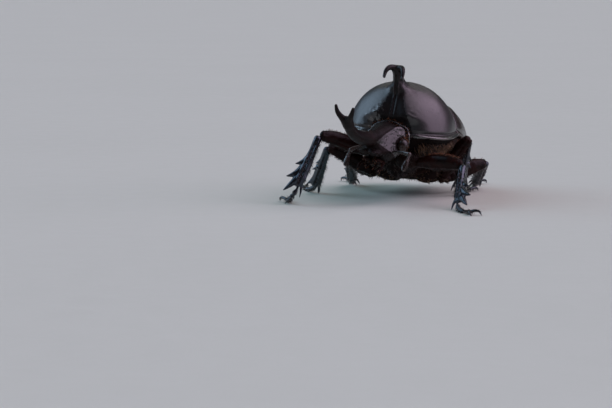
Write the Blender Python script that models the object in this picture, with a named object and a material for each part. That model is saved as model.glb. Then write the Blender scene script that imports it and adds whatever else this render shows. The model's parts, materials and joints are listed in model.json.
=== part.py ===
"""A male Xylotrupes rhinoceros beetle at life size, standing on six feet, modelled as a museum model.

Every body piece is a smooth closed form given by named sizes and functions. The forms are written in millimetres
in the frame of the body region that carries them, skinned, moved into the world, and stored in metres.
World frame: +Z up, the beetle looks towards -Y, its left side is +X. The soles lie on z = 0.
"""

import math

import bmesh
import bpy
import numpy as np

MM = 0.001

# ------------------------------------------------------------------ driving dimensions (mm, degrees)
STAND_HEIGHT = 10.0        # waist joint above the floor
PRO_PITCH, PRO_ROLL, PRO_YAW = 10.0, 5.0, 11.5      # fore body: nose up, leaning and turned to its right
HIND_PITCH, HIND_ROLL, HIND_YAW = 8.0, 3.0, 1.5     # hind body
HEAD_ROLL, HEAD_YAW = 5.7, 10.8                     # head, on top of the fore body
ORIGIN_X, ORIGIN_Y = -4.00, -0.773                   # middle of the whole model's box, seen from above

PRO_LENGTH = 12.6          # pronotum along the middle
PRO_HALF_WIDTH = 9.85
PRO_WIDEST_Y = -5.6
PRO_FRONT_REACH = 7.85      # the dome's virtual front pole, ahead of its widest place
GAP = 0.32                 # clear space between neighbouring solids
WING_WALL = 0.62           # thickness of a wing case

TARGET_TRIANGLES = {
    "pronotum": 900, "thoracic_horn": 400, "head": 600, "cephalic_horn": 460, "eye": 84, "antenna": 210,
    "mouthparts": 270, "elytron": 540, "scutellum": 60, "metathorax": 440, "abdomen": 400, "pygidium": 140,
    "coxa": 72, "femur": 156, "tibia": 230, "tarsus": 250,
}


# ------------------------------------------------------------------ small maths
def rotation(pitch, roll, yaw):
    """Columns are the region's x, y, z axes in the world: roll leans to +X, pitch lifts the nose, yaw turns it to -X."""
    p, r, y = (math.radians(v) for v in (pitch, roll, -yaw))
    rr = np.array([[math.cos(r), 0, math.sin(r)], [0, 1, 0], [-math.sin(r), 0, math.cos(r)]])
    rp = np.array([[1, 0, 0], [0, math.cos(p), math.sin(p)], [0, -math.sin(p), math.cos(p)]])
    ry = np.array([[math.cos(y), -math.sin(y), 0], [math.sin(y), math.cos(y), 0], [0, 0, 1]])
    return ry @ rp @ rr


def unit(v):
    v = np.asarray(v, float)
    return v / max(np.linalg.norm(v), 1e-12)


def natural_spline(xs, ys):
    """A C2 curve through the stations (xs, ys); held straight beyond its ends."""
    xs, ys = np.asarray(xs, float), np.asarray(ys, float)
    n = len(xs)
    h = np.diff(xs)
    a = np.zeros((n, n))
    b = np.zeros(n)
    a[0, 0] = a[-1, -1] = 1
    for i in range(1, n - 1):
        a[i, i - 1:i + 2] = h[i - 1], 2 * (h[i - 1] + h[i]), h[i]
        b[i] = 6 * ((ys[i + 1] - ys[i]) / h[i] - (ys[i] - ys[i - 1]) / h[i - 1])
    m = np.linalg.solve(a, b)

    def f(x):
        x = np.clip(x, xs[0], xs[-1])
        i = np.clip(np.searchsorted(xs, x) - 1, 0, n - 2)
        t, u, hh = x - xs[i], xs[i + 1] - x, h[i]
        return (m[i] * u ** 3 + m[i + 1] * t ** 3) / (6 * hh) + (ys[i] / hh - m[i] * hh / 6) * u + (ys[i + 1] / hh - m[i + 1] * hh / 6) * t

    return f


def smin(a, b, k):
    h = np.maximum(k - np.abs(a - b), 0) / k
    return np.minimum(a, b) - h * h * h * k / 6


def smax(a, b, k):
    return -smin(-a, -b, k)


def ellipsoid(p, centre, radii, turn=None):
    q = p - np.asarray(centre, float)
    if turn is not None:
        q = q @ turn
    r = np.asarray(radii, float)
    k0 = np.sqrt(((q / r) ** 2).sum(1)) + 1e-9
    k1 = np.sqrt(((q / (r * r)) ** 2).sum(1)) + 1e-9
    return k0 * (k0 - 1) / k1


class Tube:
    """A round-ended swept form through points: half-width a across, half-height b towards `up`."""

    def __init__(self, points, a, b=None, up=(0, 0, 1), n=22):
        points = np.asarray(points, float)
        s = np.concatenate([[0], np.cumsum(np.linalg.norm(np.diff(points, axis=0), axis=1))])
        t = np.linspace(0, s[-1], n)
        self.P = np.stack([natural_spline(s, points[:, i])(t) for i in range(3)], 1) if len(points) > 2 else \
            points[0] + (points[1] - points[0]) * (t / s[-1])[:, None]
        b = a if b is None else b
        self.a = np.interp(t, np.linspace(0, s[-1], len(a)) if len(a) != len(points) else s, a)
        self.b = np.interp(t, np.linspace(0, s[-1], len(b)) if len(b) != len(points) else s, b)
        d = np.gradient(self.P, axis=0)
        self.T = d / np.linalg.norm(d, axis=1)[:, None]
        side = np.cross(self.T, np.asarray(up, float))
        self.S = side / np.linalg.norm(side, axis=1)[:, None]
        self.U = np.cross(self.S, self.T)

    def __call__(self, p):
        best = np.full(len(p), 1e18)
        at = np.zeros(len(p))
        for i in range(len(self.P) - 1):
            a, ab = self.P[i], self.P[i + 1] - self.P[i]
            t = np.clip((p - a) @ ab / (ab @ ab), 0, 1)
            q = p - a - t[:, None] * ab
            d2 = np.einsum("ij,ij->i", q, q)
            better = d2 < best
            best[better] = d2[better]
            at[better] = i + t[better]
        i = np.minimum(at.astype(int), len(self.P) - 2)
        f = (at - i)[:, None]
        mix = lambda v: v[i] * (1 - f) + v[i + 1] * f
        q = p - mix(self.P)
        a = self.a[i] * (1 - f[:, 0]) + self.a[i + 1] * f[:, 0]
        b = self.b[i] * (1 - f[:, 0]) + self.b[i + 1] * f[:, 0]
        c = np.minimum(a, b)
        u = np.einsum("ij,ij->i", q, mix(self.S))
        v = np.einsum("ij,ij->i", q, mix(self.U))
        w = np.einsum("ij,ij->i", q, mix(self.T))
        k0 = np.sqrt((u / a) ** 2 + (v / b) ** 2 + (w / c) ** 2) + 1e-9
        k1 = np.sqrt((u / a ** 2) ** 2 + (v / b ** 2) ** 2 + (w / c ** 2) ** 2) + 1e-9
        return k0 * (k0 - 1) / k1


# ------------------------------------------------------------------ skinning a form
CORNERS = np.array([(i, j, k) for i in (0, 1) for j in (0, 1) for k in (0, 1)])
WEDGES = ((0, 4, 6, 7), (0, 4, 5, 7), (0, 2, 6, 7), (0, 2, 3, 7), (0, 1, 5, 7), (0, 1, 3, 7))


def largest_piece(points, faces):
    """Drops crumbs: keeps the faces of the connected piece that has the most."""
    label = np.arange(len(points))
    ends = np.concatenate([faces[:, [0, 1]], faces[:, [1, 2]]])
    while True:
        low = np.minimum(label[ends[:, 0]], label[ends[:, 1]])
        before = label.copy()
        np.minimum.at(label, ends[:, 0], low)
        np.minimum.at(label, ends[:, 1], low)
        label = label[label]
        if (label == before).all():
            break
    names, count = np.unique(label[faces[:, 0]], return_counts=True)
    faces = faces[label[faces[:, 0]] == names[count.argmax()]]
    used, faces = np.unique(faces, return_inverse=True)
    return points[used], faces.reshape(-1, 3)


def skin(form, low, high, step, rounds=4):
    """Closed triangle mesh of form(p) < 0 inside the box low..high. Each grid cell is split into six wedges, which
    always gives a sound surface; the points are then evened out and eased onto the form."""
    low, high = np.asarray(low, float), np.asarray(high, float)
    n = np.ceil((high - low) / step).astype(int) + 1
    axes = [low[i] + step * np.arange(n[i]) for i in range(3)]
    grid = np.stack(np.meshgrid(*axes, indexing="ij"), -1).reshape(-1, 3)
    value = np.concatenate([form(grid[i:i + 200000]) for i in range(0, len(grid), 200000)]).reshape(n)
    for side in ((0, -1),):
        value[list(side)] = np.maximum(value[list(side)], step)
        value[:, list(side)] = np.maximum(value[:, list(side)], step)
        value[:, :, list(side)] = np.maximum(value[:, :, list(side)], step)
    least = 0.10 * step
    value = np.where(np.abs(value) < least, np.where(value < 0, -least, least), value)
    m = n - 1
    corner = [value[c[0]:c[0] + m[0], c[1]:c[1] + m[1], c[2]:c[2] + m[2]] for c in CORNERS]
    inside = sum((c < 0).astype(int) for c in corner)
    cells = np.argwhere((inside > 0) & (inside < 8))
    gid = np.stack([np.ravel_multi_index(tuple((cells + c).T), n) for c in CORNERS], 1)
    flat = value.ravel()
    faces = []
    for wedge in WEDGES:
        g = gid[:, wedge]
        v = flat[g]
        order = np.argsort(v >= 0, axis=1, kind="stable")
        g = np.take_along_axis(g, order, 1)
        count = (v < 0).sum(1)
        for k, tris in ((1, (((0, 1), (0, 2), (0, 3)),)), (3, (((3, 0), (3, 1), (3, 2)),)),
                        (2, (((0, 2), (0, 3), (1, 3)), ((0, 2), (1, 3), (1, 2))))):
            h = g[count == k]
            if not len(h):
                continue
            where = grid[h]
            outward = where[:, k:].mean(1) - where[:, :k].mean(1)
            for tri in tris:
                mid = [0.5 * (where[:, a] + where[:, b]) for a, b in tri]
                turned = np.einsum("ij,ij->i", np.cross(mid[1] - mid[0], mid[2] - mid[0]), outward) < 0
                ids = np.stack([np.minimum(h[:, a], h[:, b]) * len(flat) + np.maximum(h[:, a], h[:, b]) for a, b in tri], 1)
                faces.append(np.where(turned[:, None], ids[:, ::-1], ids))
    keys, faces = np.unique(np.concatenate(faces), return_inverse=True)
    faces = faces.reshape(-1, 3)
    ga, gb = keys // len(flat), keys % len(flat)
    t = flat[ga] / (flat[ga] - flat[gb])
    points = grid[ga] + t[:, None] * (grid[gb] - grid[ga])
    points, faces = largest_piece(points, faces)
    ends = np.concatenate([faces[:, [i, (i + 1) % 3]] for i in range(3)])
    degree = np.bincount(ends[:, 0], minlength=len(points)).astype(float)
    e = step * 0.02

    def settle(q, most):
        f = form(q)
        g = np.stack([form(q + e * np.eye(3)[i]) - form(q - e * np.eye(3)[i]) for i in range(3)], 1) / (2 * e)
        move = -f[:, None] * g / np.maximum((g * g).sum(1), 0.1)[:, None]
        size = np.linalg.norm(move, axis=1)
        return q + move * np.minimum(1, most / np.maximum(size, 1e-9))[:, None]

    for _ in range(rounds):
        mean = np.stack([np.bincount(ends[:, 0], points[ends[:, 1], i], len(points)) for i in range(3)], 1) / degree[:, None]
        points = settle(points + 0.5 * (mean - points), step * 0.35)
    return points, faces


# ------------------------------------------------------------------ frames of the body regions
WAIST = np.array([0, 0, STAND_HEIGHT])
FORE = (rotation(PRO_PITCH, PRO_ROLL, PRO_YAW), WAIST)
HIND = (rotation(HIND_PITCH, HIND_ROLL, HIND_YAW), WAIST)
HEAD = (FORE[0] @ rotation(0, HEAD_ROLL, HEAD_YAW), FORE[0] @ np.array([0, -PRO_LENGTH, 0]) + WAIST)
WORLD = (np.eye(3), np.zeros(3))


def to_world(frame, p):
    return np.asarray(p, float) @ frame[0].T + frame[1]


def to_frame(frame, p):
    return (np.asarray(p, float) - frame[1]) @ frame[0]


# ------------------------------------------------------------------ fore body
pro_margin = natural_spline((-13.5, -8.5, -4.5, 0.5), (-0.25, 0.45, 1.15, 2.25))     # height of the side bead
pro_crest = natural_spline((-13.5, -9, -6, -3, 0.5), (10.6, 11.0, 10.9, 10.2, 8.7))
pro_keel = natural_spline((-13.5, -9, -4, 0.5), (-5.2, -6.1, -6.4, -5.9))


def pronotum_dome(p):
    x, y, z = np.abs(p[:, 0]), np.minimum(p[:, 1], 2.0), p[:, 2]
    front = np.maximum(PRO_WIDEST_Y - y, 0) / PRO_FRONT_REACH
    w = PRO_HALF_WIDTH * (1 - 0.075 * (np.maximum(y - PRO_WIDEST_Y, 0) / 5.6) ** 2)
    zm = pro_margin(y)
    upper = z > zm
    rise = np.where(upper, (z - zm) / (pro_crest(y) - zm), (zm - z) / (zm - pro_keel(y)))
    plan = ((x / w) ** 2.22 + front ** 2.22) ** (1 / 2.22)
    k = np.where(upper, 2.22, 1.18)
    g = (plan ** k + rise ** k) ** (1 / k) + 1e-9
    q = np.sqrt(x * x + (front * PRO_FRONT_REACH) ** 2 + (z - zm) ** 2)
    return (1 - 1 / g) * np.maximum(q, 0.5)


THORAX_HORN = Tube([(0, -8.2, 7.2), (0, -10.3, 9.2), (0, -12.0, 10.7), (0, -13.2, 11.9), (0, -13.7, 12.4)],
                   (2.8, 1.55, 0.95, 0.90, 0.8), (2.5, 1.65, 1.00, 0.72, 0.55))
THORAX_KEEL = Tube([(0, -10.2, 3.2), (0, -10.6, 6.0), (0, -11.4, 8.5), (0, -12.5, 10.5)],
                   (2.3, 1.5, 0.9, 0.7), (1.9, 1.5, 1.0, 0.6), up=(0, -1, 0.3))
THORAX_PRONGS = [Tube([(s * 0.1, -13.2, 11.95), (s * 0.8, -14.1, 12.45), (s * 1.35, -14.9, 12.15), (s * 1.65, -15.4, 11.35), (s * 1.68, -15.6, 10.5)],
                      (0.66, 0.55, 0.45, 0.36, 0.26)) for s in (-1, 1)]


def thorax_horn_form(p):
    d = smin(THORAX_HORN(p), THORAX_KEEL(p), 1.6)
    for prong in THORAX_PRONGS:
        d = smin(d, prong(p), 0.7)
    return d


def skull(p):
    """Head frame: without the horn."""
    q = p.copy()
    q[:, 0] = np.abs(q[:, 0])
    d = ellipsoid(q, (0, -1.3, -0.9), (3.75, 3.9, 3.3))
    d = smin(d, ellipsoid(q, (0, -2.2, -3.0), (2.3, 3.0, 1.9)), 1.0)
    d = smin(d, ellipsoid(q, (0, -4.1, -2.6), (2.5, 2.6, 1.5)), 1.6)
    d = smin(d, ellipsoid(q, (0.95, -6.0, -3.5), (1.25, 1.25, 0.55)), 0.8)       # two-lobed clypeus
    d = smin(d, ellipsoid(q, (3.65, -2.7, -1.5), (0.95, 1.5, 0.42)), 0.7)        # canthus before the eye
    return d


HEAD_HORN = Tube([(0, -2.6, -0.2), (0, -5.6, -0.9), (0, -9.2, -1.55), (0, -12.6, -1.45), (0, -15.3, -0.55), (0, -17.0, 0.6)],
                 (2.0, 1.5, 1.12, 0.98, 0.92, 0.9), (2.0, 1.45, 1.15, 1.0, 0.9, 0.75), n=26)
HEAD_PRONGS = [Tube([(s * 0.15, -16.4, 0.15), (s * 0.85, -17.8, 1.1), (s * 1.45, -18.7, 1.95), (s * 1.73, -19.1, 2.85)],
                    (0.72, 0.54, 0.40, 0.26)) for s in (-1, 1)]


def head_form(p):
    d = smin(skull(p), HEAD_HORN(p), 1.5)
    for prong in HEAD_PRONGS:
        d = smin(d, prong(p), 0.8)
    return d


EYE_C, EYE_R = np.array([3.60, -1.20, -1.05]), np.array([1.05, 1.15, 1.2])


def eye_form(p, side, grow=0.0):
    return ellipsoid(p, EYE_C * (side, 1, 1), EYE_R) - grow


def prothorax(p):
    d = smin(pronotum_dome(p), thorax_horn_form(p), 2.4)
    return smax(d, -PRO_LENGTH - p[:, 1] - 2.0 * np.maximum(p[:, 2] - 3.4, 0), 0.5)      # the neck opening's plane


# ------------------------------------------------------------------ hind body
body_margin = natural_spline((-0.5, 5, 12, 18, 24.5), (2.3, 1.5, 0.9, 0.8, 1.4))
ely_w = natural_spline((-0.5, 2.2, 6, 11, 15.5), (8.8, 9.7, 10.25, 10.4, 10.0))
ely_top = natural_spline((-0.5, 4, 9, 14, 18.5, 24.0), (8.3, 9.3, 9.5, 8.8, 7.3, 4.4))


def plan_end(y, start, length):
    return np.maximum(y - start, 0) / length


def elytra_outer(p):
    x, y, z = np.abs(p[:, 0]), p[:, 1], p[:, 2]
    zm = body_margin(y)
    back = plan_end(y, 12.5, 11.1)
    up = np.maximum(z - zm, 0) / (ely_top(y) - zm)
    down = np.maximum(zm - z, 0) / 6.0
    n = 2.15
    g = ((x / ely_w(y)) ** n + back ** 2.4 + np.where(z > zm, up, down) ** n) ** (1 / n) + 1e-9
    q = np.sqrt(x * x + (back * 11.1) ** 2 + (z - zm) ** 2)
    return (1 - 1 / g) * np.maximum(q, 0.5)


trunk_w = natural_spline((-0.5, 4, 11, 16), (8.1, 9.2, 9.65, 9.2))
trunk_top = natural_spline((-0.5, 5, 10, 16, 22, 25), (6.2, 7.2, 7.3, 6.3, 4.2, 2.6))
trunk_low = natural_spline((-0.5, 4, 8, 12, 16, 20, 25), (-5.4, -6.3, -6.3, -5.8, -5.0, -3.7, -1.6))


def trunk_form(p):
    x, y, z = np.abs(p[:, 0]), p[:, 1], p[:, 2]
    zm = body_margin(y)
    back = plan_end(y, 12.5, 11.9)
    up = np.maximum(z - zm, 0) / (trunk_top(y) - zm)
    down = np.maximum(zm - z, 0) / (zm - trunk_low(y))
    n = 2.1
    g = ((x / trunk_w(y)) ** n + back ** 2.6 + np.where(z > zm, up, down) ** n) ** (1 / n) + 1e-9
    q = np.sqrt(x * x + (back * 11.9) ** 2 + (z - zm) ** 2)
    d = (1 - 1 / g) * np.maximum(q, 0.5)
    d = smax(d, elytra_outer(p) + WING_WALL + GAP - 2.0 * np.maximum(zm - z, 0), 0.3)      # under the wing cases
    return smax(d, 0.25 - y, 0.5)


def fore_clear(p):
    """Hind-frame points: the space that the fore body's rear edge takes when it turns."""
    q = to_frame(FORE, to_world(HIND, p))
    return smax(prothorax(q), q[:, 1] + 0.12, 0.5) - GAP


def scutellum_zone(p):
    """Negative inside the small triangle between the wing-case bases."""
    x, y = np.abs(p[:, 0]), p[:, 1]
    return np.maximum((x - 1.75 * (1 - (y - 0.2) / 3.1)) * 0.87, 0.2 - y)


def scutellum_form(p):
    d = smax(elytra_outer(p) + 0.1, scutellum_zone(p), 0.3)
    d = smax(d, -(elytra_outer(p) + 1.1), 0.3)
    return smax(d, -fore_clear(p), 0.1)


def elytron_form(p, side):
    d = elytra_outer(p)
    d = smax(d, 0.25 - p[:, 1], 0.6)
    d = smax(d, -side * p[:, 0] + 0.16, 0.25)
    d = smax(d, body_margin(p[:, 1]) + 0.18 - p[:, 2], 0.3)
    d = smax(d, -(trunk_form(p) - GAP), 0.2)
    d = smax(d, -fore_clear(p), 0.2)
    return smax(d, -(smax(elytra_outer(p) - 0.5, scutellum_zone(p), 0.2) - GAP), 0.2)


# ------------------------------------------------------------------ legs (world, mm)
# Each leg: region that carries the coxa, coxa centre and radii there, knee, ankle, toe points, outward direction of the shin's teeth.
def leg(region, coxa, radii, knee, ankle, toes, teeth, fore, lift=0.0):
    return dict(region=region, coxa=coxa, radii=radii, knee=np.array(knee, float), ankle=np.array(ankle, float),
                toes=[np.array(t, float) for t in toes], teeth=np.array(teeth, float), fore=fore, lift=lift)


LEGS = {
    "fore_left": leg(FORE, (2.9, -9.4, -3.5), (2.2, 1.6, 1.9), (10.95, -15.2, 7.5), (10.30, -21.4, 1.35),
                     [(10.45, -22.8, 0.75), (10.9, -24.8, 0.42), (11.7, -26.8, 0.42), (12.8, -28.7, 0.45)], (0.9, -0.45, 0.35), True),
    "fore_right": leg(FORE, (-2.9, -9.4, -3.5), (2.2, 1.6, 1.9), (-15.15, -12.9, 12.55), (-18.75, -16.4, 3.35),
                      [(-19.4, -16.6, 2.2), (-20.2, -15.7, 1.1), (-20.8, -14.2, 0.48), (-21.3, -12.4, 0.45)], (-0.9, -0.2, -0.15), True, 1.0),
    "mid_left": leg(HIND, (4.3, 2.6, -5.0), (2.5, 1.25, 1.6), (11.60, -1.0, 11.4), (9.75, 2.6, 2.6),
                    [(9.8, 3.9, 1.5), (10.2, 5.8, 0.6), (10.7, 7.8, 0.42), (11.3, 9.9, 0.45)], (1, -0.2, 0), False),
    "mid_right": leg(HIND, (-4.3, 2.6, -5.0), (2.5, 1.25, 1.6), (-14.85, -1.4, 9.5), (-17.9, 3.6, 1.7),
                     [(-18.5, 4.8, 1.0), (-19.3, 6.5, 0.5), (-20.1, 8.3, 0.42), (-20.8, 10.3, 0.45)], (-1, -0.2, 0.2), False),
    "hind_left": leg(HIND, (4.6, 7.2, -5.1), (3.3, 1.45, 1.5), (14.45, 10.2, 5.7), (12.25, 17.6, 1.45),
                     [(12.0, 19.0, 0.85), (11.9, 21.0, 0.45), (12.1, 23.1, 0.42), (12.6, 25.3, 0.45)], (0.9, 0.3, 0.3), False),
    "hind_right": leg(HIND, (-4.6, 7.2, -5.1), (3.3, 1.45, 1.5), (-12.4, 12.0, 5.9), (-12.3, 19.6, 1.45),
                      [(-12.4, 21.0, 0.85), (-12.6, 23.0, 0.45), (-13.1, 25.0, 0.42), (-13.8, 27.1, 0.45)], (-0.9, 0.3, 0.3), False),
}


def coxa_form(p, which, grow=0.0):
    """World points; the hip piece set into the underside."""
    l = LEGS[which]
    side = 1 if l["coxa"][0] > 0 else -1
    q = to_frame(l["region"], p) - np.array(l["coxa"])
    tilt = math.radians(18) * side
    turn = np.array([[math.cos(tilt), 0, -math.sin(tilt)], [0, 1, 0], [math.sin(tilt), 0, math.cos(tilt)]])
    return ellipsoid(q @ turn, (0, 0, 0), l["radii"]) - grow


def hip_point(l):
    side = 1 if l["coxa"][0] > 0 else -1
    rx, ry, rz = l["radii"]
    return to_world(l["region"], np.array(l["coxa"]) + np.array([side * (rx * 0.80 + 0.75), -0.2 if l["fore"] else 0.1, -0.35 + l["lift"]]))


def leg_axes(a, b, teeth):
    along = unit(b - a)
    out = unit(teeth - along * (teeth @ along))
    return along, out, np.cross(along, out)


def femur_form(l):
    hip, knee = hip_point(l), l["knee"]
    along = unit(knee - hip)
    length = np.linalg.norm(knee - hip)
    bulge = 1.42 if l["fore"] else 1.55
    up = unit(np.array([0, 0, 1]) - along * along[2])
    pts = [hip + along * 0.1, hip + along * length * 0.3 + up * 0.25, hip + along * length * 0.65 + up * 0.30, knee - along * 0.75]
    thigh = Tube(pts, (0.75, 1.0, 1.05, 0.72), (0.85, bulge, bulge * 0.93, 1.0), up=up)
    return lambda p: thigh(p)


def tibia_form(l):
    knee, ankle = l["knee"], l["ankle"]
    along, out, flat = leg_axes(knee, ankle, l["teeth"])
    L = np.linalg.norm(ankle - knee)
    at = lambda s, o=0.0, f=0.0: knee + along * s * L + out * o + flat * f
    d_parts = []
    if l["fore"]:
        blade = Tube([at(0.085, 0.05), at(0.30, 0.0), at(0.6, 0.12), at(0.85, 0.28), at(0.97, 0.25)],
                     (0.62, 0.60, 0.62, 0.60, 0.45), (0.70, 0.66, 0.98, 1.18, 0.90), up=out)
        teeth = [Tube([at(0.50, 0.55), at(0.60, 1.35), at(0.635, 1.85)], (0.50, 0.40, 0.26)),
                 Tube([at(0.70, 0.75), at(0.84, 1.75), at(0.90, 2.45)], (0.60, 0.48, 0.27)),
                 Tube([at(0.86, 0.75), at(1.03, 1.50), at(1.14, 2.05)], (0.62, 0.50, 0.27)),
                 Tube([at(0.93, -0.35), at(1.03, -0.75), at(1.16, -1.0)], (0.42, 0.34, 0.25))]
        blend = 0.55
    else:
        blade = Tube([at(0.09), at(0.35), at(0.7), at(0.93)], (0.62, 0.70, 0.90, 1.0), (0.68, 0.76, 0.98, 1.1), up=out)
        teeth = [Tube([at(0.50, 0.55), at(0.60, 1.35)], (0.45, 0.27)),
                 Tube([at(0.90, 0.75), at(1.02, 1.50)], (0.5, 0.27)),
                 Tube([at(0.92, 0.0, 0.7), at(1.04, 0.1, 1.25)], (0.45, 0.27)),
                 Tube([at(0.92, 0.0, -0.7), at(1.04, 0.1, -1.25)], (0.45, 0.27)),
                 Tube([at(0.92, -0.7), at(1.08, -1.30)], (0.45, 0.27))]
        blend = 0.45

    def form(p):
        d = blade(p)
        for tooth in teeth:
            d = smin(d, tooth(p), blend)
        return smax(d, 0.15 - p[:, 2], 0.05)

    return form


def tarsus_points(l):
    """The four short segments' ends, the long last segment's end, evenly spaced along the toe line."""
    along = unit(l["ankle"] - l["knee"])
    start = l["ankle"] + along * 0.62
    return [start] + l["toes"]


def tarsus_form(l):
    pts = tarsus_points(l)
    s = np.concatenate([[0], np.cumsum([np.linalg.norm(b - a) for a, b in zip(pts, pts[1:])])])
    curve = [natural_spline(s, [q[i] for q in pts]) for i in range(3)]
    at = lambda t: np.array([c(np.array(t * s[-1])) for c in curve])
    stops = (0.0, 0.155, 0.31, 0.465, 0.62, 1.0)
    beads = []
    for i in range(5):
        a, b = at(stops[i]), at(stops[i + 1])
        r = (0.36, 0.50) if i < 4 else (0.31, 0.48)
        beads.append(Tube([a, b - 0.12 * (b - a)], r, r, n=6))
    core = Tube([at(t) for t in np.linspace(0, 0.9, 8)], (0.30,) * 8, n=14)
    tip, before = at(1.0), at(0.9)
    along = unit(tip - before)
    along[2] = 0
    along = unit(along)
    across = np.cross(along, (0, 0, 1))
    claws = []
    for sgn in (-1, 1):
        c = [tip - along * 0.2, tip + along * 0.75 + across * sgn * 0.62, tip + along * 1.55 + across * sgn * 1.02, tip + along * 2.15 + across * sgn * 0.98]
        for q, z in zip(c, (0.46, 0.78, 0.62, 0.19)):
            q[2] = z
        claws.append(Tube(c, (0.33, 0.30, 0.27, 0.25), n=10))

    def form(p):
        d = core(p)
        for bead in beads:
            d = smin(d, bead(p), 0.10)
        for claw in claws:
            d = smin(d, claw(p), 0.25)
        return d

    return form


# ------------------------------------------------------------------ feelers and mouthparts (head frame)
ANTENNA_ELBOW = {1: (6.6, -3.9, -2.45), -1: (-4.9, -4.3, -3.9)}      # the left one is held out, the right one down


def antenna_form(side):
    s = side
    base, elbow = np.array([s * 3.1, -3.3, -2.6]), np.array(ANTENNA_ELBOW[side])
    scape = Tube([base, 0.5 * (base + elbow) + (0, 0, 0.15), elbow], (0.36, 0.33, 0.40), n=10)
    beads = Tube([elbow, elbow + (s * 0.15, -0.25, -0.75), elbow + (s * 0.05, -0.45, -1.35)], (0.34, 0.30, 0.34), n=8)
    club = Tube([elbow + (s * 0.05, -0.45, -1.45), elbow + (-s * 0.05, -0.65, -2.9)], (0.48, 0.50), (0.52, 0.68), up=(0, -1, 0.2), n=8)
    return lambda p: smin(smin(scape(p), beads(p), 0.1), club(p), 0.12)


def mouth_form(p):
    q = p.copy()
    q[:, 0] = np.abs(q[:, 0])
    d = ellipsoid(q, (0, -3.0, -5.0), (1.7, 1.7, 0.75))
    d = smin(d, ellipsoid(q, (1.05, -4.4, -4.85), (0.75, 1.2, 0.5)), 0.4)
    palp = Tube([(1.35, -3.2, -5.1), (2.1, -4.1, -5.5), (2.25, -5.0, -6.1), (2.0, -5.5, -6.8)], (0.34, 0.32, 0.34, 0.30), n=12)
    inner = Tube([(0.55, -3.6, -5.4), (0.75, -4.5, -5.9), (0.7, -5.0, -6.5)], (0.32, 0.30, 0.28), n=8)
    return smin(smin(d, palp(q), 0.25), inner(q), 0.25)


# ------------------------------------------------------------------ objects
def material(name, colour, roughness):
    m = bpy.data.materials.new(name)
    m.use_nodes = True
    shader = m.node_tree.nodes["Principled BSDF"]
    shader.inputs["Base Color"].default_value = (*colour, 1)
    shader.inputs["Roughness"].default_value = roughness
    shader.inputs["Metallic"].default_value = 0.0
    return m


def add(name, kind, form, low, high, step, frame, mat, parent):
    points, quads = skin(form, low, high, step)
    points = to_world(frame, points)
    points[:, 0] -= ORIGIN_X
    points[:, 1] -= ORIGIN_Y
    mesh = bpy.data.meshes.new(name)
    bm = bmesh.new()
    verts = [bm.verts.new(p) for p in np.round(points, 4) * MM]
    for q in quads:
        bm.faces.new([verts[i] for i in q])
    bmesh.ops.triangulate(bm, faces=bm.faces)
    bm.to_mesh(mesh)
    count = len(bm.faces)
    bm.free()
    mesh.materials.append(mat)
    obj = bpy.data.objects.new(name, mesh)
    bpy.context.scene.collection.objects.link(obj)
    obj.parent = parent
    mesh.shade_smooth()
    mesh.set_sharp_from_angle(angle=math.radians(50))
    thin = obj.modifiers.new("Facets", "DECIMATE")
    thin.decimate_type = "COLLAPSE"
    thin.ratio = min(1.0, TARGET_TRIANGLES[kind] / count)
    thin.use_collapse_triangulate = True
    return obj


def ground_cutter():
    """A block whose top is the floor: it trims the soles to small flats on one level."""
    mesh = bpy.data.meshes.new("ground_cutter")
    bm = bmesh.new()
    bmesh.ops.create_cube(bm, size=1.0)
    bmesh.ops.scale(bm, vec=(0.09, 0.09, 0.004), verts=bm.verts)
    bmesh.ops.translate(bm, vec=(0, 0, -0.002), verts=bm.verts)
    bm.to_mesh(mesh)
    bm.free()
    block = bpy.data.objects.new("ground_cutter", mesh)
    bpy.context.scene.collection.objects.link(block)
    block.hide_render = True
    block.display_type = "WIRE"
    return block


def around(points, margin):
    points = np.asarray(points, float)
    return points.min(0) - margin, points.max(0) + margin


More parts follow.
